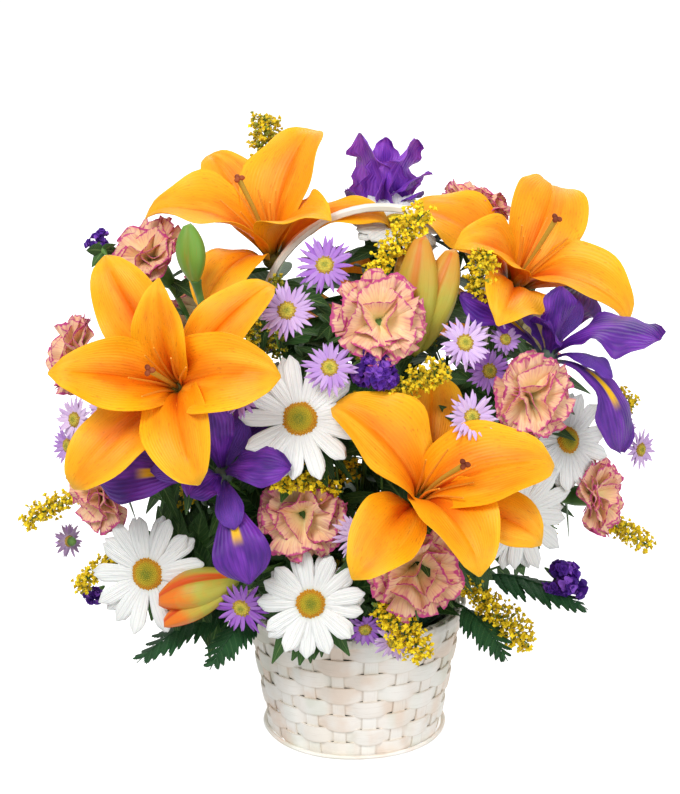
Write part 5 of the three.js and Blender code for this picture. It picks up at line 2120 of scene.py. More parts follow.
def aster_rays(head: Head, seed: int) -> Shape:
    """Narrow rays in two rows.

    Args:
        head: the head that they stand on.
        seed: the start of the random draws.

    Returns:
        The rays as one form.
    """
    face = Facing(head.at)
    rng = np.random.default_rng(seed)
    count = 40 if head.radius > 15 else 30
    made = []
    for k in range(count):
        turn = 360 * k / count + rng.normal(0, 4)
        long = head.radius * rng.uniform(0.84, 1.03) * (1 - 0.16 * (k % 2))
        lift, droop = rng.uniform(0, 2.0) + 2.2 * (k % 2), rng.uniform(0, 3.5)
        radial = face.radial(turn)
        wide = rng.uniform(1.1, 1.4) * (0.8 + head.radius / 60)

        def point(along: Array, across: Array) -> Array:
            """The ray's middle surface.

            Args:
                along: how far along, from 0 to 1.
                across: how far across, from -1 to 1.

            Returns:
                The places.
            """
            reach = 2.6 + (long - 2.6) * along
            swell = 0.55 + 0.45 * np.sin(math.pi * np.clip(along, 0, 1))
            half = wide * swell * (1.02 - along**6) ** 0.5
            high = (1.2 + lift) * along - droop * along**2 - 0.35 * across**2
            return face.off(radial, high, reach, half * across)

        made.append(blade(point, 5, 2, 0.5, float(np.clip(head.tint + rng.normal(0, 0.08), 0, 1))))
    return Shape.joined(made)


def aster_disc(head: Head) -> Shape:
    """The raised middle and its florets.

    Args:
        head: the head that it belongs to.

    Returns:
        The disc as one form.
    """
    face = Facing(head.at)
    size = 0.27 * head.radius + 0.6
    dome = Blanks.ball(10, 6)
    x, y, z = dome.corners.T
    growth = columns(np.hypot(x, y), 0, 0)
    body = dome.formed(face.spot(z * 2.4 + 0.2, x * size, y * size), 0.0, growth)
    return Shape.joined([body, seeds_on_dome(face, 46, size, 2.5, 0.6, 0.75)])


def head_cup(head: Head, depth: float, wide: float) -> Shape:
    """The green cup behind a head.

    Args:
        head: the head.
        depth: how deep the cup is.
        wide: its radius at the head.

    Returns:
        The cup.
    """
    face = Facing(head.at)
    blank = Blanks.ball(10, 7)
    x, y, z = blank.corners.T
    wide = wide * (0.75 + 0.25 * z)
    return blank.formed(face.spot(z * depth / 2 - depth / 2, x * wide, y * wide), 0.4)


def statice_head(head: Head, seed: int) -> Shape:
    """Papery trumpets in several uneven tufts.

    Args:
        head: the head's place and radius.
        seed: the start of the random draws.

    Returns:
        The trumpets as one form.
    """
    face = Facing(head.at)
    rng = np.random.default_rng(seed)
    made = []
    for tuft in range(TUFTS):
        turn, far = tuft * GOLDEN_ANGLE, head.radius * 0.62 * math.sqrt((tuft + 0.2) / TUFTS)
        centre = face.spot(rng.normal(-0.1, 0.22) * head.radius, far * math.cos(turn), far * math.sin(turn))
        count = int(9 + 0.7 * head.radius)
        ways = unit(rng.normal(size=(count, 3)) + 0.8 * face.out + 0.9 * unit(centre - face.place + face.out))
        places = centre + ways * head.radius * 0.12
        side = square_to(ways, rng)
        size = head.radius * rng.uniform(0.16, 0.24, count)[:, None]
        long = head.radius * rng.uniform(0.28, 0.42, count)[:, None]
        axes = axes_along(ways, side, size, long)
        growth = columns(0, 0, rng.choice([0.1, 0.35, 0.5, 0.9], count))
        made.append(Blanks.floret(5, 0.72, 1.0).scattered(places, axes, growth))
        knot = Blanks.ball(8, 5)
        made.append(knot.formed(centre + knot.corners * head.radius * 0.2, 0.0))
    return Shape.joined(made)


@dataclass(frozen=True)
class Plume:
    """A goldenrod plume: where it runs from and to, its width, how bright it is, and its bow."""

    start: Point
    end: Point
    wide: float
    bright: float = 0.8
    bow: float = 6.0

    def path(self) -> Array:
        """Its bowed middle line.

        Returns:
            Places along it.
        """
        start, end = np.array(self.start, float), np.array(self.end, float)
        middle = (start + end) / 2
        middle[2] += self.bow
        return bowed(start, middle, end, 40)

    def grown(self, seed: int, twigs: int = 0) -> tuple[Shape, Shape]:
        """Grows the plume.

        Args:
            seed: the start of its random draws.
            twigs: how many twigs it has, or 0 for as many as suit its length.

        Returns:
            The florets, and the green stalks that carry them.
        """
        rng = np.random.default_rng(seed)
        path = self.path()
        long = float(np.linalg.norm(path[-1] - path[0]))
        stalks = [tube(path, lambda s: 0.95 - 0.5 * s, 10, 5)]
        places, ways, outs = [], [], []
        twigs = twigs or int(24 + 0.5 * long)
        for k in range(twigs):
            share = 0.04 + 0.92 * k / twigs
            at, ahead, side, over = (v[0] for v in along_path(path, np.array([share])))
            body = self.wide / 2 * (0.35 + 0.65 * math.sin(math.pi * (1 - share) ** 0.7))
            turn = k * GOLDEN_ANGLE
            away = side * math.cos(turn) + over * math.sin(turn)
            reach = body * rng.uniform(0.75, 1.05)
            middle = at + away * reach * 0.5 + ahead * reach * 0.25
            tip = at + away * reach + ahead * reach * 0.25 + np.array([0, 0, 0.12 * reach])
            twig = smooth_path([at, middle, tip], 12)
            stalks.append(tube(twig, lambda s: 0.4 - 0.15 * s, 3, 3))
            count = max(4, int(reach * 1.15))
            for j in range(count):
                far = 0.25 + 0.75 * (j + 1) / count
                spot = twig[int(far * 11)]
                jitter = rng.normal(0, 1.0, 3)
                places.append(spot + jitter)
                outs.append(far)
                ways.append(unit(away * 0.6 + ahead * 0.3 + jitter * 0.5 + np.array([0, -0.2, 0.3])))
        ways, places = np.array(ways), np.array(places)
        count = len(places)
        side = square_to(ways, rng)
        size = rng.uniform(1.3, 2.2, count)[:, None]
        axes = axes_along(ways, side, size, 1.1 * size)
        tint = np.clip(self.bright * (0.2 + 0.9 * np.array(outs)) + rng.normal(0, 0.2, count), 0, 1)
        growth = columns(0, 0, tint)
        shut = rng.uniform(size=count) < 0.5
        stars = Blanks.floret(4, 0.5, 0.9).scattered(places[~shut], axes[~shut], growth[~shut])
        knobs = Blanks.ball(5, 3).scattered(places[shut], 0.62 * axes[shut], growth[shut])
        return Shape.joined([stars, knobs]), Shape.joined(stalks)


def spot_inside(rng: np.random.Generator, low: float, high: float) -> tuple[Array, Array]:
    """A random place among the flowers.

    Args:
        rng: the random draws.
        low: the least share of the way from their middle to their outside.
        high: the greatest share.

    Returns:
        The place, and the way outward there.
    """
    way = unit(rng.normal(size=3) + np.array([0, 0, 0.3]))
    return FLOWERS_MIDDLE + FLOWERS_REACH * way * rng.uniform(low, high), way


def sprigs(stalks: Array, count: int, seed: int) -> tuple[Shape, Shape]:
    """Small side twigs of dull florets that fill the arrangement's gaps.

    Args:
        stalks: the corners of the stalks that they grow on.
        count: how many are tried.
        seed: the start of the random draws.

    Returns:
        The florets, and the twigs.
    """
    rng = np.random.default_rng(seed)
    high = stalks[stalks[:, 2] > FOAM_TOP + SPRIG_LOW]
    florets, twigs = [], []
    for _ in range(count):
        tip, way = spot_inside(rng, 0.55, 1.0)
        root = nearest(high, tip)
        gap = tip - root
        far = float(np.linalg.norm(gap))
        if far > SPRIG_GAP or tip[2] < FOAM_TOP + SPRIG_LOW:
            continue
        if far < SPRIG:
            tip, gap, far = root + way * SPRIG, way * SPRIG, SPRIG
        start = root + gap * (1 - SPRIG / far) + way * 2
        plume = Plume(tuple(start), tuple(tip), rng.uniform(11, 17), rng.uniform(0.0, 0.65), 2.0)
        made = plume.grown(int(rng.integers(1, 10**6)), 10)
        florets.append(made[0])
        foot = smooth_path([root, (root + start) / 2, start], 8)
        twigs += [made[1], tube(foot, lambda s: 0.6, 4, 4)]
    return Shape.joined(florets), Shape.joined(twigs)


@dataclass(frozen=True)
class FernLeaf:
    """A fern leaf: where it runs from and to, its width, and how high it arches."""

    start: Point
    end: Point
    wide: float
    arch: float = 10.0

    def grown(self, pairs: int = 10) -> Shape:
        """Toothed leaflets on both sides of an arched rib.

        Args:
            pairs: how many leaflets stand on each side.

        Returns:
            The leaf as one form.
        """
        start, end = np.array(self.start, float), np.array(self.end, float)
        middle = start + (end - start) * 0.45
        middle[2] += self.arch
        path = bowed(start, middle, end, 60)
        side = unit(np.cross(end - start, [0, 0, 1]))
        ahead = unit(end - start)
        step = float(np.linalg.norm(end - start)) / pairs
        made = [tube(path, lambda s: 0.9 - 0.6 * s, 12, 5, 0.4)]
        for k in range(pairs):
            share = (k + 0.3) / pairs
            reach = self.wide / 2 * math.sin(math.pi * (0.3 + 0.6 * share)) * 1.12
            for hand in (1.0, -1.0):
                root = path[int((share + 0.02 * hand) * 56)]
                made.append(self.leaflet(root, side * hand, ahead, reach, 0.82 * step, k + 0.5 * hand))
        made.append(self.leaflet(path[-8], ahead, side, 1.4 * step, 0.5 * step, pairs))
        return Shape.joined(made)

    def leaflet(
        self, root: Array, side: Array, ahead: Array, reach: float, wide: float, number: float
    ) -> Shape:
        """One leaflet with a toothed edge.

        Args:
            root: where it leaves the rib.
            side: the way it points.
            ahead: the way it leans.
            reach: its length.
            wide: half its width.
            number: what its small differences come from.

        Returns:
            The leaflet.
        """

        def point(along: Array, across: Array) -> Array:
            """The leaflet's middle surface.

            Args:
                along: how far along, from 0 to 1.
                across: how far across, from -1 to 1.

            Returns:
                The places.
            """
            tooth = 0.78 + 0.34 * ((along * 5) % 1.0) * np.abs(across)
            half = wide * np.sin(math.pi * (0.3 + 0.67 * along)) * tooth
            out = reach * along * (1 + 0.08 * math.sin(number * 5))
            forward = reach * 0.7 * along**1.2 + half * across
            drop = -0.22 * out - 0.8 * np.abs(across) + 1.2 * math.sin(number * 2.1) * along
            return root + columns(out, forward, drop) @ np.stack([side, ahead, UPWARD])

        return blade(point, 15, 2, 0.5, 0.2 + 0.6 * abs(math.sin(number * 3)))


# Stems and leaves


@dataclass(frozen=True)
class Leaf:
    """A narrow leaf.

    Attributes:
        root: where it leaves its stalk.
        way: the way it starts.
        over: the way its upper side faces.
        long: its length.
        wide: its width.
        droop: how far it bends down, as a share of its length.
        tint: the third value of its growth.
    """

    root: Array
    way: Array
    over: Array
    long: float
    wide: float
    droop: float
    tint: float

    def grown(self, steps: int = 7, lanes: int = 2) -> Shape:
        """The leaf as a blade with a folded rib.

        Args:
            steps: faces along it.
            lanes: faces across it.

        Returns:
            The leaf.
        """
        way = unit(self.way)
        side = unit(np.cross(way, self.over))
        over = np.cross(side, way)

        def point(along: Array, across: Array) -> Array:
            """The leaf's middle surface.

            Args:
                along: how far along, from 0 to 1.
                across: how far across, from -1 to 1.

            Returns:
                The places.
            """
            half = self.wide / 2 * np.sin(math.pi * (0.06 + 0.92 * along**0.8))
            fold = 0.28 * half * np.abs(across)
            far = self.long * along
            drop = -self.droop * self.long * along**2
            axes = np.stack([way, side, over, UPWARD])
            return self.root + columns(far, half * across, fold, drop) @ axes

        return blade(point, steps, lanes, 0.5, self.tint)


def on_stem(root: Point, z: float) -> Array:
    """A place on the line of a main stem, at a height."""
    share = (z - STEM_ORIGIN_Z) / (FOAM_TOP - STEM_ORIGIN_Z)
    return np.array([root[0] * share, root[1] * share, z])


@dataclass(frozen=True)
class Cut:
    """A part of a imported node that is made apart: what lies near a place and ahead of a level.

    Attributes:
        face: the place and the way ahead.
        level: how far ahead the cut starts.
        reach: how near the place it holds.
    """

    face: Facing
    level: float
    reach: float

    def holds(self, places: Array) -> Array:
        """Tells which places lie in it."""
        away = places - self.face.place
        return (away @ self.face.out > self.level) & (np.linalg.norm(away, axis=1) < self.reach)


def everything_near(place: Array, reach: float) -> Cut:
    """A cut that holds all round a place."""
    return Cut(Facing(tuple(place)), -math.inf, reach)


@dataclass
class Stems:
    """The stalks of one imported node, rounded, without the heads that are made apart.

    Attributes:
        node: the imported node.
        cuts: the parts that are left out.
        fat: how far the stalks are swollen before they are rounded.
    """

    node: str
    cuts: Sequence[Cut] = ()
    fat: float = 0.55

    def rounded(self) -> Shape:
        """A copy of the node's own stalks, made round.

        Returns:
            The stalks as one form.
        """
        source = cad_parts[self.node]
        copy = source.copy()
        copy.data = source.data.copy()
        copy.parent = None
        for key in list(copy.keys()):
            if key.startswith("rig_"):
                del copy[key]
        bpy.context.scene.collection.objects.link(copy)
        Bench.edit(copy, lambda: bpy.ops.mesh.remove_doubles(threshold=2e-5))
        places = np.array([v.co for v in copy.data.vertices]) / MM
        inside = np.zeros(len(places), bool)
        for cut in self.cuts:
            inside |= cut.holds(places)
        Bench.hold(copy)
        copy.data.polygons.foreach_set("select", np.zeros(len(copy.data.polygons), bool))
        copy.data.edges.foreach_set("select", np.zeros(len(copy.data.edges), bool))
        copy.data.vertices.foreach_set("select", inside)
        bpy.ops.object.mode_set(mode="EDIT")
        bpy.ops.mesh.select_mode(type="VERT")
        bpy.ops.mesh.delete(type="VERT")
        bpy.ops.mesh.select_all(action="SELECT")
        bpy.ops.mesh.tris_convert_to_quads(face_threshold=0.7, shape_threshold=0.7)
        bpy.ops.mesh.fill_holes(sides=0)
        bpy.ops.transform.shrink_fatten(value=self.fat * MM)
        bpy.ops.object.mode_set(mode="OBJECT")
        Bench.apply(copy, "SUBSURF", levels=2, render_levels=2)
        shape = Shape.taken(copy, 1 / MM)
        shape.growth[:, 0] = shape.corners[:, 2] / 100
        shape.growth[:, 2] = 0.5
        return shape


@dataclass
class Plant:
    """A stemmed plant: its main stem, and the blooms that its branches carry.

    Attributes:
        node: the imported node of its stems.
        root: where the stem leaves the foam.
        fork: the height of its first branch.
        blooms: the faces of its blooms, each with the radius to keep leaves within.
        leaf: length, width and droop of its leaves.
        stem_leaves: how many leaves stand on the main stem.
        bloom_leaves: how many leaves stand behind each bloom.
        seed: the start of its random draws.
        extra: more forms that belong to the stalks.
        cuts: what the stalks leave out.
        gaps: places between blooms that a few leaves reach.
        branch_leaves: how many leaves stand on each branch.
        gap_leaves: how many leaves reach out at random among the blooms.
    """

    node: str
    root: Point
    fork: float
    blooms: Sequence[tuple[Facing, float]]
    leaf: tuple[float, float, float]
    stem_leaves: int
    bloom_leaves: int
    seed: int
    extra: list[Shape] = field(default_factory=list)
    cuts: Sequence[Cut] = ()
    gaps: Sequence[Point] = ()
    branch_leaves: int = 7
    gap_leaves: int = 44

    def leaves(self, stalks: Array) -> Shape:
        """Leaves on the main stem, along the branches and behind the blooms.

        Args:
            stalks: the corners of the rounded stalks, on which each leaf is rooted.

        Returns:
            The leaves as one form.
        """
        rng = np.random.default_rng(self.seed)
        long, wide, droop = self.leaf
        made = []
        outward = math.atan2(self.root[1], self.root[0])

        def grow(near: Array, way: Array, over: Array, size: float, share: float) -> None:
            """Adds a leaf whose root is the place on the stalks nearest to a place.

            Args:
                near: the place.
                way: the way the leaf starts.
                over: the way its upper side faces.
                size: its length.
                share: its share of the usual width.
            """
            root = nearest(stalks, near)
            over = over + rng.normal(0, 0.3, 3)
            sag = droop * rng.uniform(0.5, 1.2)
            made.append(Leaf(root, way, over, size, wide * share, sag, rng.uniform()).grown())

        for k in range(self.stem_leaves):
            z = FOAM_TOP + 2 + (self.fork + 14 - FOAM_TOP) * (k + 0.5) / self.stem_leaves
            turn = outward + 1.1 * math.sin(k * 2.4 + self.seed) + rng.normal(0, 0.25)
            way = np.array([math.cos(turn), math.sin(turn), rng.uniform(0.05, 0.75)])
            over = np.array([way[0] * 0.4, way[1] * 0.4, 1.0])
            grow(on_stem(self.root, min(z, self.fork - 1)), way, over, long * rng.uniform(0.8, 1.15), 1.0)
        for face, reach in self.blooms:
            fork, neck = on_stem(self.root, self.fork), face.spot(-24, 0, 0)
            for share in np.linspace(0.3, 0.95, self.branch_leaves):
                near = fork + (neck - fork) * share
                turn = rng.uniform(0, FULL_TURN)
                across = face.right * math.cos(turn) + face.up * math.sin(turn)
                way = across + 0.5 * unit(neck - fork)
                grow(near, way, face.out, min(long, 0.9 * reach) * rng.uniform(0.7, 1.0), 1.0)
            for k in range(self.bloom_leaves):
                way = face.radial(360 * (k + rng.uniform(0, 0.7)) / self.bloom_leaves) - 0.2 * face.out
                near = face.spot(-rng.uniform(14, 24), 0, 0)
                grow(near, way, face.out, min(long, reach) * rng.uniform(0.7, 0.95), 0.8)
        for _ in range(self.gap_leaves):
            spot, way = spot_inside(rng, 0.5, 1.0)
            root = nearest(stalks, spot)
            far = float(np.linalg.norm(spot - root))
            if far < 50 and spot[2] > FOAM_TOP + 8:
                over = way + np.array([0, -0.3, 0.3])
                grow(root, spot - root + 10 * way, over, min(1.1 * long, far + 16), 1.0)
        for gap in self.gaps:
            for _ in range(4):
                spot = np.array(gap) + rng.normal(0, 7, 3)
                root = nearest(stalks, spot)
                size = float(np.linalg.norm(spot - root)) + 14
                grow(root, spot - root, np.array([-0.3, -1.0, 0.4]), size, 1.0)
        return Shape.joined(made)

    def build(self) -> None:
        """Makes and delivers the stems and leaves."""
        stems = Stems(self.node, self.cuts).rounded()
        deliver(self.node + "_stalks", Shape.joined([stems, *self.extra]), Looks.STEM, self.node)
        deliver(self.node + "_leaves", self.leaves(stems.corners), Looks.LEAF)


# The studio


@dataclass
class Studio:
    """A pale floor, soft light, and a camera at the photograph's angle.

    Attributes:
        target: what the camera looks at.
        distance: how far away it stands.
        elevation: how far above the level it stands, in degrees.
        lens: its focal length.
        lit: what the lights point at, in metres.
        sky: how bright the light from all round is.
        glow: how much light the floor gives off.
    """

    target: Point = (-9.75, 0.0, 230.0)
    distance: float = 1500.0
    elevation: float = 17.0
    lens: float = 104.63
    lit: Point = (0.0, 0.0, 0.22)
    sky: float = 0.6
    glow: float = 0.5

    def camera(self) -> None:
        """Makes the camera."""
        angle = math.radians(self.elevation)
        data = bpy.data.cameras.new("camera")
        data.lens, data.sensor_width = self.lens, 36
        made = bpy.data.objects.new("camera", data)
        bpy.context.scene.collection.objects.link(made)
        x, y, z = self.target
        made.location = (
            x * MM, (y - self.distance * math.cos(angle)) * MM, (z + self.distance * math.sin(angle)) * MM
        )
        made.rotation_euler = (math.pi / 2 - angle, 0, 0)
        data.clip_start, data.clip_end = 0.05, 60
        bpy.context.scene.camera = made

    def light(self, name: str, at: Point, size: float, power: float) -> None:
        """Adds a square soft light that points at the flowers.

        Args:
            name: its name.
            at: its place, in metres.
            size: its side, in metres.
            power: its power, in watts.
        """
        data = bpy.data.lights.new(name, "AREA")
        data.size, data.energy = size, power
        made = bpy.data.objects.new(name, data)
        bpy.context.scene.collection.objects.link(made)
        made.location = at
        way = Vector(self.lit) - Vector(at)
        made.rotation_euler = way.to_track_quat("-Z", "Y").to_euler()

    def floor(self) -> None:
        """Makes the floor."""
        floor = Bench.add(bpy.ops.mesh.primitive_plane_add, size=40)
        floor.name = "studio_floor"
        material = bpy.data.materials.new("pale_floor")
        tree = Tree(material)
        soft = tree.mix(tree.noise(2.0, 1) * 0.02, "FBFBFB", "EFEFEF")
        inputs = {
            "Base Color": soft, "Roughness": 0.9, "Emission Color": soft, "Emission Strength": self.glow
        }
        surface = tree.node("ShaderNodeBsdfPrincipled", {}, inputs)
        out = tree.nodes.new("ShaderNodeOutputMaterial")
        tree.links.new(surface.socket, out.inputs["Surface"])
        floor.data.materials.append(material)
        floor.visible_diffuse = False

    def build(self) -> None:
        """Makes the studio."""
        self.camera()
        self.floor()
        self.light("key_light", (-0.8, -1.6, 2.0), 1.0, 40)
        self.light("fill_light", (1.7, -1.7, 0.9), 1.8, 22)
        self.light("back_light", (0.3, 1.7, 1.7), 1.4, 20)
        world = bpy.context.scene.world or bpy.data.worlds.new("soft_world")
        bpy.context.scene.world = world
        world.use_nodes = True
        background = world.node_tree.nodes["Background"].inputs
        background["Color"].default_value = (1, 1, 1, 1)
        background["Strength"].default_value = self.sky
        bpy.context.scene.view_settings.view_transform = "Standard"


# The arrangement

# The turn, opening angle, length and width of each tepal
LILIES = {
    "lily_front": (
        Facing((38, -92, 191), (0.23, -0.68, 0.69)),
        [(10, 96, 100, 56), (87, 122, 90, 40), (151, 114, 98, 54),
         (232, 120, 90, 44), (291, 106, 94, 50), (337, 110, 88, 40)],
    ),
    "lily_left": (
        Facing((-108, -80, 260), (-0.22, -0.87, 0.44)),
        [(2, 114, 96, 50), (45, 126, 98, 36), (88, 66, 88, 34), (114, 100, 98, 44),
         (176, 68, 96, 44), (230, 114, 98, 42), (290, 116, 90, 44)],
    ),
    "lily_back_left": (
        Facing((-54, 20, 318), (-0.14, -0.39, 0.91)),
        [(60, 88, 98, 52), (118, 82, 86, 38), (180, 103, 100, 50),
         (238, 134, 86, 40), (324, 82, 80, 42), (3, 126, 90, 30)],
    ),
    "lily_right": (
        Facing((102, 10, 300), (0.34, -0.47, 0.81)),
        [(74, 116, 94, 52), (160, 126, 96, 50), (199, 98, 84, 40),
         (246, 98, 90, 46), (328, 119, 98, 46), (8, 140, 88, 34)],
    ),
    "lily_rear": (
        Facing((14, 92, 226), (0.08, 0.82, 0.56)),
        [(20, 100, 92, 50), (80, 108, 88, 40), (140, 100, 92, 50),
         (200, 112, 88, 40), (262, 104, 92, 50), (318, 108, 88, 40)],
    ),
}

# The iris with a paler copy of the iris finish, painted light because the lamps leave it dark, and the lilies
# whose style leans
IRIS_LOOKS = {"iris_top": Looks.IRIS_PALE}
STYLE_LEANS = {"lily_front": (12.0, -4.0), "lily_back_left": (-11.0, 3.0), "lily_right": (3.0, 4.0)}

BUDS = [
    BudCluster(
        "lily_bud_pair_skins",
        [((36, -60, 274), (0.06, 0.12, 1), 76, 26), ((40, -57, 276), (0.3, 0.16, 0.95), 68, 24),
         ((36, -54, 276), (-0.06, 0.3, 0.95), 66, 22)],
        0.6, ("lily_bud_pair",),
    ),
    BudCluster(
        "lily_bud_low_skins",
        [((-72, -86, 138), (-0.96, -0.1, -0.26), 54, 26), ((-74, -88, 136), (-0.86, -0.1, -0.5), 54, 18)],
        1.5, ("lily_bud_low",),
    ),
    BudCluster("green_bud", [((-99, -50, 318), (-0.1, -0.02, 1), 39, 18)], 0.1, (), Looks.GREEN_BUD),
]

# The turn, end angle and length of each petal, and its width and waist where they aren't the usual
IRISES = {
    "iris_left": (
        Facing((-82, -84, 206), (-0.1, -0.8, 0.55)),
        {"falls": [(183, 118, 76), (284, 128, 72), (60, 100, 56, 28)],
         "standards": [(92, 60, 58), (352, 108, 62), (235, 70, 44)],
         "arms": [(183, 100, 46), (284, 110, 44), (60, 80, 38)]},
    ),
    "iris_right": (
        Facing((121, -48, 272), (0.3, -0.36, 0.86)),
        {"falls": [(172, 92, 66), (318, 170, 84), (70, 110, 66)],
         "standards": [(340, 98, 80, 46), (120, 30, 46), (220, 60, 40)],
         "arms": [(172, 60, 38), (318, 110, 48), (70, 60, 38)]},
    ),
    "iris_top": (
        Facing((18, 48, 334), (0.02, 0.1, 1)),
        {"falls": [(90, 130, 62), (215, 120, 58), (330, 120, 60)],
         "standards": [(220, 32, 64, 40, 0.65), (275, 8, 58, 30, 0.65), (320, 44, 64, 40, 0.65),
                       (335, 84, 52, 22, 0.65)],
         "arms": [(90, 70, 36), (215, 70, 36), (330, 70, 36)]},
    ),
}

# The place, the way it faces, and the radius of each bloom
DAISIES = {
    "daisy_centre": (Facing((-34, -98, 246), (-0.12, -0.88, 0.42)), 40),
    "daisy_low_left": (Facing((-131, -74, 136), (-0.3, -0.92, 0.2)), 39),
    "daisy_low_centre": (Facing((-28, -104, 128), (0.04, -0.97, 0.22)), 34),
    "daisy_right": (Facing((102, -78, 178), (0.45, -0.86, 0.1)), 38),
    "daisy_far_right": (Facing((134, -48, 216), (0.55, -0.75, 0.3)), 32),
    "daisy_top": (Facing((27, 17, 342), (0.05, -0.42, 0.9)), 31),
    "daisy_rear_left": (Facing((-78, 94, 196), (-0.45, 0.85, 0.3)), 38),
    "daisy_rear_right": (Facing((96, 88, 172), (0.5, 0.84, 0.2)), 38),
}

CARNATIONS = {
    "carnation_top_left": (Facing((-131, 0, 322), (-0.5, -0.4, 0.78)), 27),
    "carnation_far_left": (Facing((-176, -14, 262), (-0.9, -0.3, 0.3)), 27),
    "carnation_low_left": (Facing((-160, -48, 180), (-0.72, -0.62, -0.24)), 25),
    "carnation_centre": (Facing((14, -80, 303), (0.06, -0.86, 0.48)), 29),
    "carnation_right": (Facing((107, -80, 255), (0.36, -0.88, 0.28)), 27),
    "carnation_low_centre": (Facing((-33, -86, 180), (-0.06, -0.98, 0.16)), 28),
    "carnation_low_front": (Facing((37, -96, 148), (0.15, -0.98, -0.05)), 30),
    "carnation_far_right": (Facing((152, -40, 176), (0.84, -0.44, 0.14)), 25),
    "carnation_top_right": (Facing((78, 40, 346), (0.3, 0.05, 0.95)), 24),
    "carnation_rear_left": (Facing((-98, 82, 268), (-0.5, 0.72, 0.45)), 28),
    "carnation_rear_right": (Facing((112, 74, 250), (0.55, 0.7, 0.4)), 28),
}


@dataclass(frozen=True)
class Kind:
    """What a plant's stem leaves to its bloom.

    Attributes:
        leaf_reach: how far leaves reach behind the bloom.
        cut_level: the height over the bloom's place from which the stem's node is left out.
        cut_reach: how near the bloom's place that holds.
    """

    leaf_reach: float
    cut_level: float
    cut_reach: float


class Kinds(Enum):
    """The kinds of stemmed bloom."""

    LILY = Kind(70.0, 5.0, 75.0)
    IRIS = Kind(52.0, 20.0, 1.0)
    DAISY = Kind(50.0, -1.65, 16.0)
    CARNATION = Kind(40.0, 20.0, 1.0)


# The length, width and droop of leaves
LILY_LEAF, DAISY_LEAF, CARNATION_LEAF = (64.0, 18.0, 0.2), (44.0, 18.0, 0.25), (44.0, 8.0, 0.3)
SPRAY_LEAF = (34.0, 8.0, 0.25)

# For each plant: where it leaves the foam, the height of its fork, its blooms, the size of its
# leaves, and how many stand on the main stem and behind each bloom
PLANTS = {
    "lily_stem_left": ((-28, -4), 135, ("lily_left", "lily_back_left"), LILY_LEAF, 10, 6),
    "lily_stem_front": ((12, -24), 122, ("lily_front",), LILY_LEAF, 9, 7),
    "lily_stem_right": ((34, 4), 140, ("lily_right", "lily_rear"), LILY_LEAF, 10, 6),
    "iris_stem_left": ((-22, -26), 120, ("iris_left",), LILY_LEAF, 4, 3),
    "iris_stem_right": ((42, -16), 132, ("iris_right",), LILY_LEAF, 4, 3),
    "iris_stem_top": ((4, 14), 160, ("iris_top",), LILY_LEAF, 5, 3),
    "daisy_stem_left": (
        (-14, -44), 112, ("daisy_centre", "daisy_low_left", "daisy_low_centre", "daisy_rear_left"),
        DAISY_LEAF, 7, 8,
    ),
    "daisy_stem_right": (
        (30, -36), 112, ("daisy_right", "daisy_far_right", "daisy_top", "daisy_rear_right"),
        DAISY_LEAF, 7, 8,
    ),
    "carnation_stem_left": (
        (-44, -14), 122,
        ("carnation_top_left", "carnation_far_left", "carnation_low_left", "carnation_rear_left"),
        CARNATION_LEAF, 8, 4,
    ),
    "carnation_stem_middle": (
        (0, -34), 120, ("carnation_centre", "carnation_low_centre", "carnation_low_front"),
        CARNATION_LEAF, 8, 4,
    ),
    "carnation_stem_right": (
        (46, -4), 122,
        ("carnation_right", "carnation_far_right", "carnation_top_right", "carnation_rear_right"),
        CARNATION_LEAF, 8, 4,
    ),
}

# For each spray: where it leaves the foam, the height of its fork, and its heads or plumes
ASTER_SPRAYS = {
    "aster_spray_left": ((-42, 6), 115, [
        Head((-178, -36, 226), 16, 0.05), Head((-186, -10, 200), 15, 0.6), Head((-190, 6, 128), 13, 0.3),
        Head((-71, -96, 122), 20, 0.9), Head((-70, -104, 262), 14, 0.6), Head((-158, -56, 240), 12, 0.2),
        Head((-140, 60, 200), 17, 0.5),
    ]),
    "aster_spray_middle": ((-6, -14), 140, [
        Head((-19, -62, 333), 20, 0.75), Head((-42, -76, 308), 20, 0.35), Head((-16, -100, 279), 18, 0.55),
        Head((2, -108, 174), 18, 0.1), Head((6, -92, 106), 13, 0.85), Head((24, -98, 100), 15, 0.3),
        Head((-20, 84, 300), 18, 0.6),
    ]),
    "aster_spray_right": ((22, -8), 135, [
        Head((66, -84, 290), 18, 0.25), Head((82, -70, 268), 16, 0.8), Head((70, -100, 248), 17, 0.2),
        Head((92, -62, 286), 11, 0.6), Head((184, -18, 200), 14, 0.3), Head((170, -36, 222), 11, 0.3),
        Head((140, 40, 210), 17, 0.5),
    ]),
}

STATICE_SPRAYS = {
    "statice_left": ((-36, 20), 108, [
        Head((-165, 6, 332), 9), Head((-174, -10, 96), 8), Head((-60, 104, 246), 14),
    ]),
    "statice_right": ((18, -44), 106, [Head((12, -96, 276), 15), Head((134, -60, 124), 15)]),
}

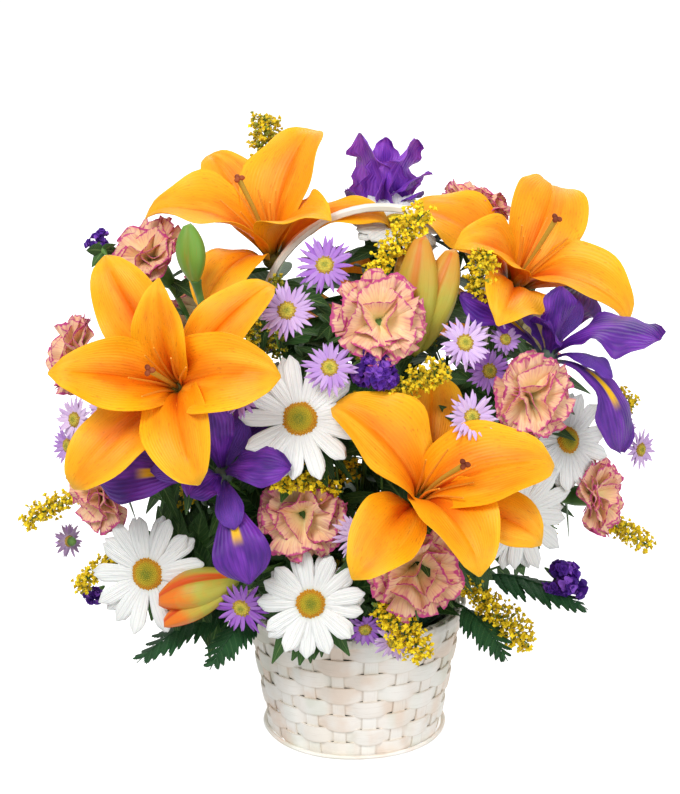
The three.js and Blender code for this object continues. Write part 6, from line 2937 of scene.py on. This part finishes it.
GOLDENROD_SPRAYS = {
    "goldenrod_left": ((-18, 12), 130, [
        Plume((-57, 55, 349), (-59, 60, 404), 24, 0.45), Plume((-62, -24, 272), (-84, -30, 306), 24, 0.3),
        Plume((-176, -8, 165), (-219, -5, 143), 16, 0.75),
        Plume((-156, -22, 128), (-182, -25, 104), 14, 0.75),
        Plume((-120, 84, 220), (-158, 96, 246), 22, 0.7),
    ]),
    "goldenrod_middle": ((4, -46), 106, [
        Plume((5, -58, 318), (45, -28, 360), 24, 0.95), Plume((9, -92, 251), (56, -98, 276), 20, 0.6),
        Plume((-8, -92, 197), (-57, -106, 210), 18, 0.85), Plume((10, -98, 126), (44, -108, 92), 26, 0.95),
    ]),
    "goldenrod_right": ((38, 20), 118, [
        Plume((66, -66, 126), (113, -74, 84), 24, 0.75), Plume((72, -52, 296), (80, -46, 338), 20, 0.6),
        Plume((156, -10, 148), (195, -12, 130), 16, 0.75), Plume((156, -22, 238), (178, -30, 232), 14, 0.7),
        Plume((44, 96, 150), (76, 112, 128), 24, 0.7),
    ]),
}

# For each fern: where it leaves the foam, and its leaves
FERNS = {
    "fern_left": ((-34, -32), [
        FernLeaf((-82, -50, 106), (-140, -72, 74), 34), FernLeaf((-66, -66, 104), (-92, -92, 78), 26),
    ]),
    "fern_right": ((40, -28), [
        FernLeaf((90, -50, 126), (148, -70, 110), 34), FernLeaf((70, -64, 108), (96, -92, 84), 26),
    ]),
    "fern_rear_left": ((-26, 38), [FernLeaf((-60, 64, 110), (-110, 108, 96), 34)]),
    "fern_rear_right": ((26, 38), [FernLeaf((62, 56, 112), (118, 92, 104), 34)]),
}

# The green bud is made apart from the stem that carries it
MORE_CUTS = {"lily_stem_left": [Cut(Facing(*BUDS[-1].buds[0][:2]), 7, 48)]}

# Places between the blooms at the left that leaves of a plant reach
GAPS = {
    "daisy_stem_left": [(-110, -34, 150), (-100, -32, 164), (-118, -28, 162), (-94, -34, 150)],
    "carnation_stem_left": [(-122, -24, 168), (-112, -26, 150), (-104, -28, 160)],
}


@dataclass(frozen=True)
class HeadKind:
    """How the stalks of a spray meet its heads.

    Attributes:
        cup: the depth and width of the green cup behind a head.
        cut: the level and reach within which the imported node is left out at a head.
        leaf_reach: how far leaves reach behind a head.
        leaves: how many leaves stand there.
    """

    cup: Callable[[Head], tuple[float, float]]
    cut: Callable[[Head], tuple[float, float]]
    leaf_reach: float
    leaves: int

    def carry(self, node: str, root: Point, fork: float, heads: Sequence[Head], seed: int) -> None:
        """Makes and delivers the stalks and leaves of a spray.

        Args:
            node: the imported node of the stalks.
            root: where they leave the foam.
            fork: the height of the first branch.
            heads: the heads that they carry.
            seed: the start of the random draws.
        """
        cups = [head_cup(head, *self.cup(head)) for head in heads]
        cuts = [Cut(Facing(head.at), *self.cut(head)) for head in heads]
        blooms = [(Facing(head.at), self.leaf_reach) for head in heads]
        Plant(node, root, fork, blooms, SPRAY_LEAF, 6, self.leaves, seed, cups, cuts).build()


ASTER_HEADS = HeadKind(lambda head: (6.5, 4.2), lambda head: (-5.2, head.radius * 1.2), 18.0, 4)
STATICE_HEADS = HeadKind(
    lambda head: (1.5 * head.radius, 3.0), lambda head: (-head.radius, head.radius * 1.25), 16.0, 3
)


def build_blooms() -> None:
    """Makes the stemmed blooms and their buds."""
    for seed, (name, (face, tepals)) in enumerate(LILIES.items()):
        Lily(name, face, tepals, LILY_SEED + seed, STYLE_LEANS.get(name, (0.0, 0.0))).build()
    for cluster in BUDS:
        cluster.build()
    for seed, (name, (face, blades)) in enumerate(IRISES.items()):
        Iris(name, face, blades, IRIS_SEED + seed, IRIS_LOOKS.get(name, Looks.IRIS)).build()
    for seed, (name, (face, radius)) in enumerate(DAISIES.items()):
        Daisy(name, face, radius, DAISY_SEED + seed).build()
    for seed, (name, (face, radius)) in enumerate(CARNATIONS.items()):
        Carnation(name, face, radius, CARNATION_SEED + seed).build()


def build_plants() -> None:
    """Makes the stems of the stemmed blooms, and their leaves."""
    blooms_of = {**LILIES, **IRISES, **DAISIES, **CARNATIONS}
    faces = {name: face for name, (face, _) in blooms_of.items()}
    for seed, (node, (root, fork, names, leaf, on_main, behind)) in enumerate(PLANTS.items()):
        kinds = [Kinds[name.split("_")[0].upper()].value for name in names]
        blooms = [(faces[name], kind.leaf_reach) for name, kind in zip(names, kinds)]
        cuts = [Cut(faces[name], kind.cut_level, kind.cut_reach) for name, kind in zip(names, kinds)]
        cuts += MORE_CUTS.get(node, [])
        Plant(
            node, root, fork, blooms, leaf, on_main, behind, PLANT_SEED + seed, cuts=cuts,
            gaps=GAPS.get(node, ()), branch_leaves=12,
        ).build()


def build_sprays() -> None:
    """Makes the sprays of small heads and plumes, and the ferns."""
    seed = SPRAY_SEED
    for node, (root, fork, heads) in ASTER_SPRAYS.items():
        rays = [aster_rays(head, seed + k) for k, head in enumerate(heads)]
        deliver(node + "_rays", Shape.joined(rays), Looks.ASTER)
        deliver(node + "_discs", Shape.joined(aster_disc(head) for head in heads), Looks.ASTER_DISC)
        ASTER_HEADS.carry(node, root, fork, heads, seed)
        seed += SPRAY_SEEDS
    for node, (root, fork, heads) in STATICE_SPRAYS.items():
        shapes = [statice_head(head, seed + k) for k, head in enumerate(heads)]
        deliver(node + "_heads", Shape.joined(shapes), Looks.STATICE, sharp=40)
        STATICE_HEADS.carry(node, root, fork, heads, seed)
        seed += SPRAY_SEEDS
    for node, (root, fork, plumes) in GOLDENROD_SPRAYS.items():
        grown = [plume.grown(seed + k) for k, plume in enumerate(plumes)]
        cut = [
            everything_near(place, 0.66 * plume.wide) for plume in plumes for place in plume.path()[1::3]
        ]
        grown.append(sprigs(Stems(node, cut).rounded().corners, SPRIGS, seed + 9))
        deliver(node + "_florets", Shape.joined(g[0] for g in grown), Looks.GOLDENROD, sharp=40)
        Plant(node, root, fork, [], SPRAY_LEAF, 8, 0, seed, [g[1] for g in grown], cut).build()
        seed += SPRAY_SEEDS
    for node, (root, leaves) in FERNS.items():
        deliver(node + "_leaflets", Shape.joined(leaf.grown() for leaf in leaves), Looks.FERN)
        cut = []
        for leaf in leaves:
            line = np.linspace(leaf.start, leaf.end, 12)[1:]
            cut += [everything_near(place, 0.62 * leaf.wide) for place in line]
        Plant(node, root, 100, [], SPRAY_LEAF, 4, 0, seed, cuts=cut).build()
        seed += SPRAY_SEEDS


def main() -> None:
    """Builds the studio, the basket and the flowers."""
    logging.basicConfig(level=logging.INFO, format="%(message)s")
    Studio().build()
    Basket().build()
    build_blooms()
    build_plants()
    build_sprays()


if __name__ == "__main__":
    main()
